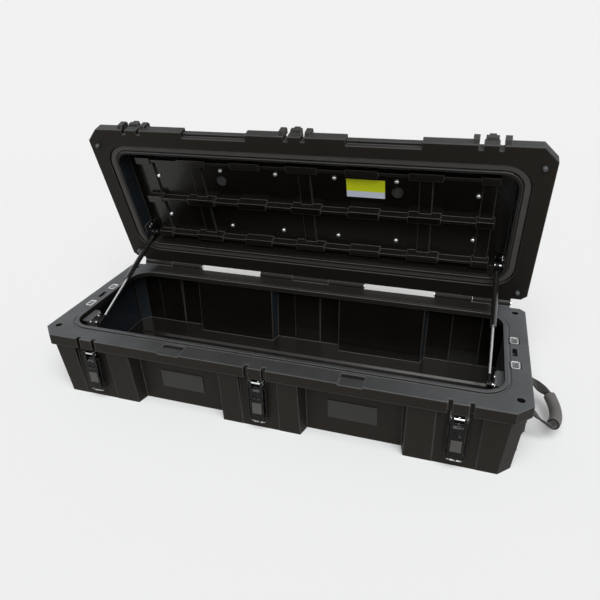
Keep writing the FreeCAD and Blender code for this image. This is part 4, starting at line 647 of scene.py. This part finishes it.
def add_stitches(mesh, space, leg, mirror):
    """Box stitching through the doubled webbing, seen on both faces."""
    count = int(SEW_REACH / STITCH_PITCH)
    half = WEBBING_WIDTH * SEAM_SHARE
    lengthwise = [(LAYERS_MEET + SEW_REACH * (n + 0.5) / count, s * half, 0.0)
                  for n in range(count) for s in (-1, 1)]
    crosswise = [(LAYERS_MEET + SEW_REACH * end, -half + 2 * half * (n + 0.5) / STITCHES_ACROSS, math.pi / 2)
                 for n in range(STITCHES_ACROSS) for end in (0, 1)]
    course = leg_course(leg)
    for reach, across, turn in lengthwise + crosswise:
        middle, heading, t = min(course, key=lambda station: abs(station[0].x - reach))
        width, rise = leg_axes(heading, t)
        for face in (-1, 1):
            centre = middle + width * across + rise * (face * 2 * LAYER_LIFT)
            axis = heading * math.cos(turn) + width * math.sin(turn)
            parts = (axis * STITCH_LENGTH / 2, rise.cross(axis) * STITCH_WIDE, rise * STITCH_DEEP)
            for part in (centre, *parts):
                part.y *= mirror
            basis = Matrix([space.world(part) - space.pin for part in parts]).transposed()
            place = Matrix.Translation(space.world(centre)) @ basis.to_4x4()
            made = bmesh.ops.create_uvsphere(mesh, u_segments=8, v_segments=6, radius=1, matrix=place)
            for stitch_face in {skin for vertex in made["verts"] for skin in vertex.link_faces}:
                stitch_face.material_index = 1
                stitch_face.smooth = True


def make_strap(side, webbing, thread):
    space = HandleSpace(side)
    mesh = bmesh.new()
    uv = mesh.loops.layers.uv.new("flat")
    for mirror in (1, -1):
        add_webbing(mesh, uv, space, space.leg, mirror)
        add_stitches(mesh, space, space.leg, mirror)
    bmesh.ops.recalc_face_normals(mesh, faces=mesh.faces)
    data = bpy.data.meshes.new(f"webbing_{side}")
    mesh.to_mesh(data)
    mesh.free()
    data.materials.append(webbing)
    data.materials.append(thread)
    strap = bpy.data.objects.new(f"webbing_{side}", data)
    bpy.context.scene.collection.objects.link(strap)
    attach(strap, f"handle_{side}")
    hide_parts(f"handle_strap_{side}")


def make_straps():
    webbing, thread = woven_webbing("woven_webbing"), sewing_thread("sewing_thread")
    for side in ("right", "left"):
        make_strap(side, webbing, thread)


# Stage, light and camera

def is_seen(tree):
    """1 for rays that show the backdrop: from the camera, in gloss or through glass."""
    path = tree.nodes.new("ShaderNodeLightPath")
    total = path.outputs["Is Camera Ray"]
    for kind in ("Is Glossy Ray", "Is Transmission Ray"):
        larger = tree.nodes.new("ShaderNodeMath")
        larger.operation = "MAXIMUM"
        tree.links.new(total, larger.inputs[0])
        tree.links.new(path.outputs[kind], larger.inputs[1])
        total = larger.outputs[0]
    return total


def light_world():
    world = bpy.data.worlds.new("studio")
    bpy.context.scene.world = world
    world.use_nodes = True
    tree = world.node_tree
    tone = tree.nodes.new("ShaderNodeMix")
    tone.data_type = "RGBA"
    tree.links.new(is_seen(tree), tone.inputs[0])
    tone.inputs[6].default_value = AMBIENT
    tone.inputs[7].default_value = grey(PAPER)
    tree.links.new(tone.outputs[2], tree.nodes["Background"].inputs["Color"])


def lay_floor():
    """A pale disc that keeps the shadow and clears into the backdrop far out."""
    bpy.ops.mesh.primitive_circle_add(vertices=96, radius=FLOOR_RADIUS, fill_type="NGON", location=(0, 0, 0))
    floor = bpy.context.object
    floor.name = "floor"
    g = Graph("floor_paper", Roughness=0.9, Specular_IOR_Level=0.0)
    far = g.feed(g.new("ShaderNodeVectorMath", operation="LENGTH"), i0=g.place).outputs["Value"]
    tone = g.mix(is_seen(g.tree), FLOOR_BOUNCE, FLOOR_TONE)
    g.set(Base_Color=tone, Alpha=g.span(far, FLOOR_CLEAR[1], FLOOR_CLEAR[0]))
    floor.data.materials.append(g.material)


def light_sun():
    sun_data = bpy.data.lights.new("overhead", "SUN")
    sun_data.energy = SUN_STRENGTH
    sun_data.angle = SUN_SPREAD
    sun_data.color = SUN_COLOUR
    sun = bpy.data.objects.new("overhead", sun_data)
    bpy.context.scene.collection.objects.link(sun)
    sun.rotation_euler = SUN_FROM.to_track_quat("Z", "Y").to_euler()


def set_camera():
    cos_pitch, sin_pitch = math.cos(CAMERA_PITCH), math.sin(CAMERA_PITCH)
    forward = Vector((math.sin(CAMERA_YAW) * cos_pitch, math.cos(CAMERA_YAW) * cos_pitch, sin_pitch))
    level = Vector((math.cos(CAMERA_YAW), -math.sin(CAMERA_YAW), 0))
    upright = level.cross(forward)
    right = math.cos(CAMERA_ROLL) * level + math.sin(CAMERA_ROLL) * upright
    up = math.cos(CAMERA_ROLL) * upright - math.sin(CAMERA_ROLL) * level
    data = bpy.data.cameras.new("camera")
    data.sensor_width = SENSOR
    data.lens = SENSOR * FOCAL_PIXELS / FRAME_PIXELS
    data.shift_x = (FRAME_PIXELS / 2 - OPTICAL_CENTRE[0]) / FRAME_PIXELS
    data.shift_y = (OPTICAL_CENTRE[1] - FRAME_PIXELS / 2) / FRAME_PIXELS
    data.clip_end = 50
    camera = bpy.data.objects.new("camera", data)
    bpy.context.scene.collection.objects.link(camera)
    camera.matrix_world = Matrix.Translation(CAMERA_AT) @ Matrix((right, up, -forward)).transposed().to_4x4()
    bpy.context.scene.camera = camera


set_camera()
light_world()
lay_floor()
light_sun()
bpy.context.scene.view_settings.view_transform = "Standard"
dress_all()
soften_all()
make_straps()
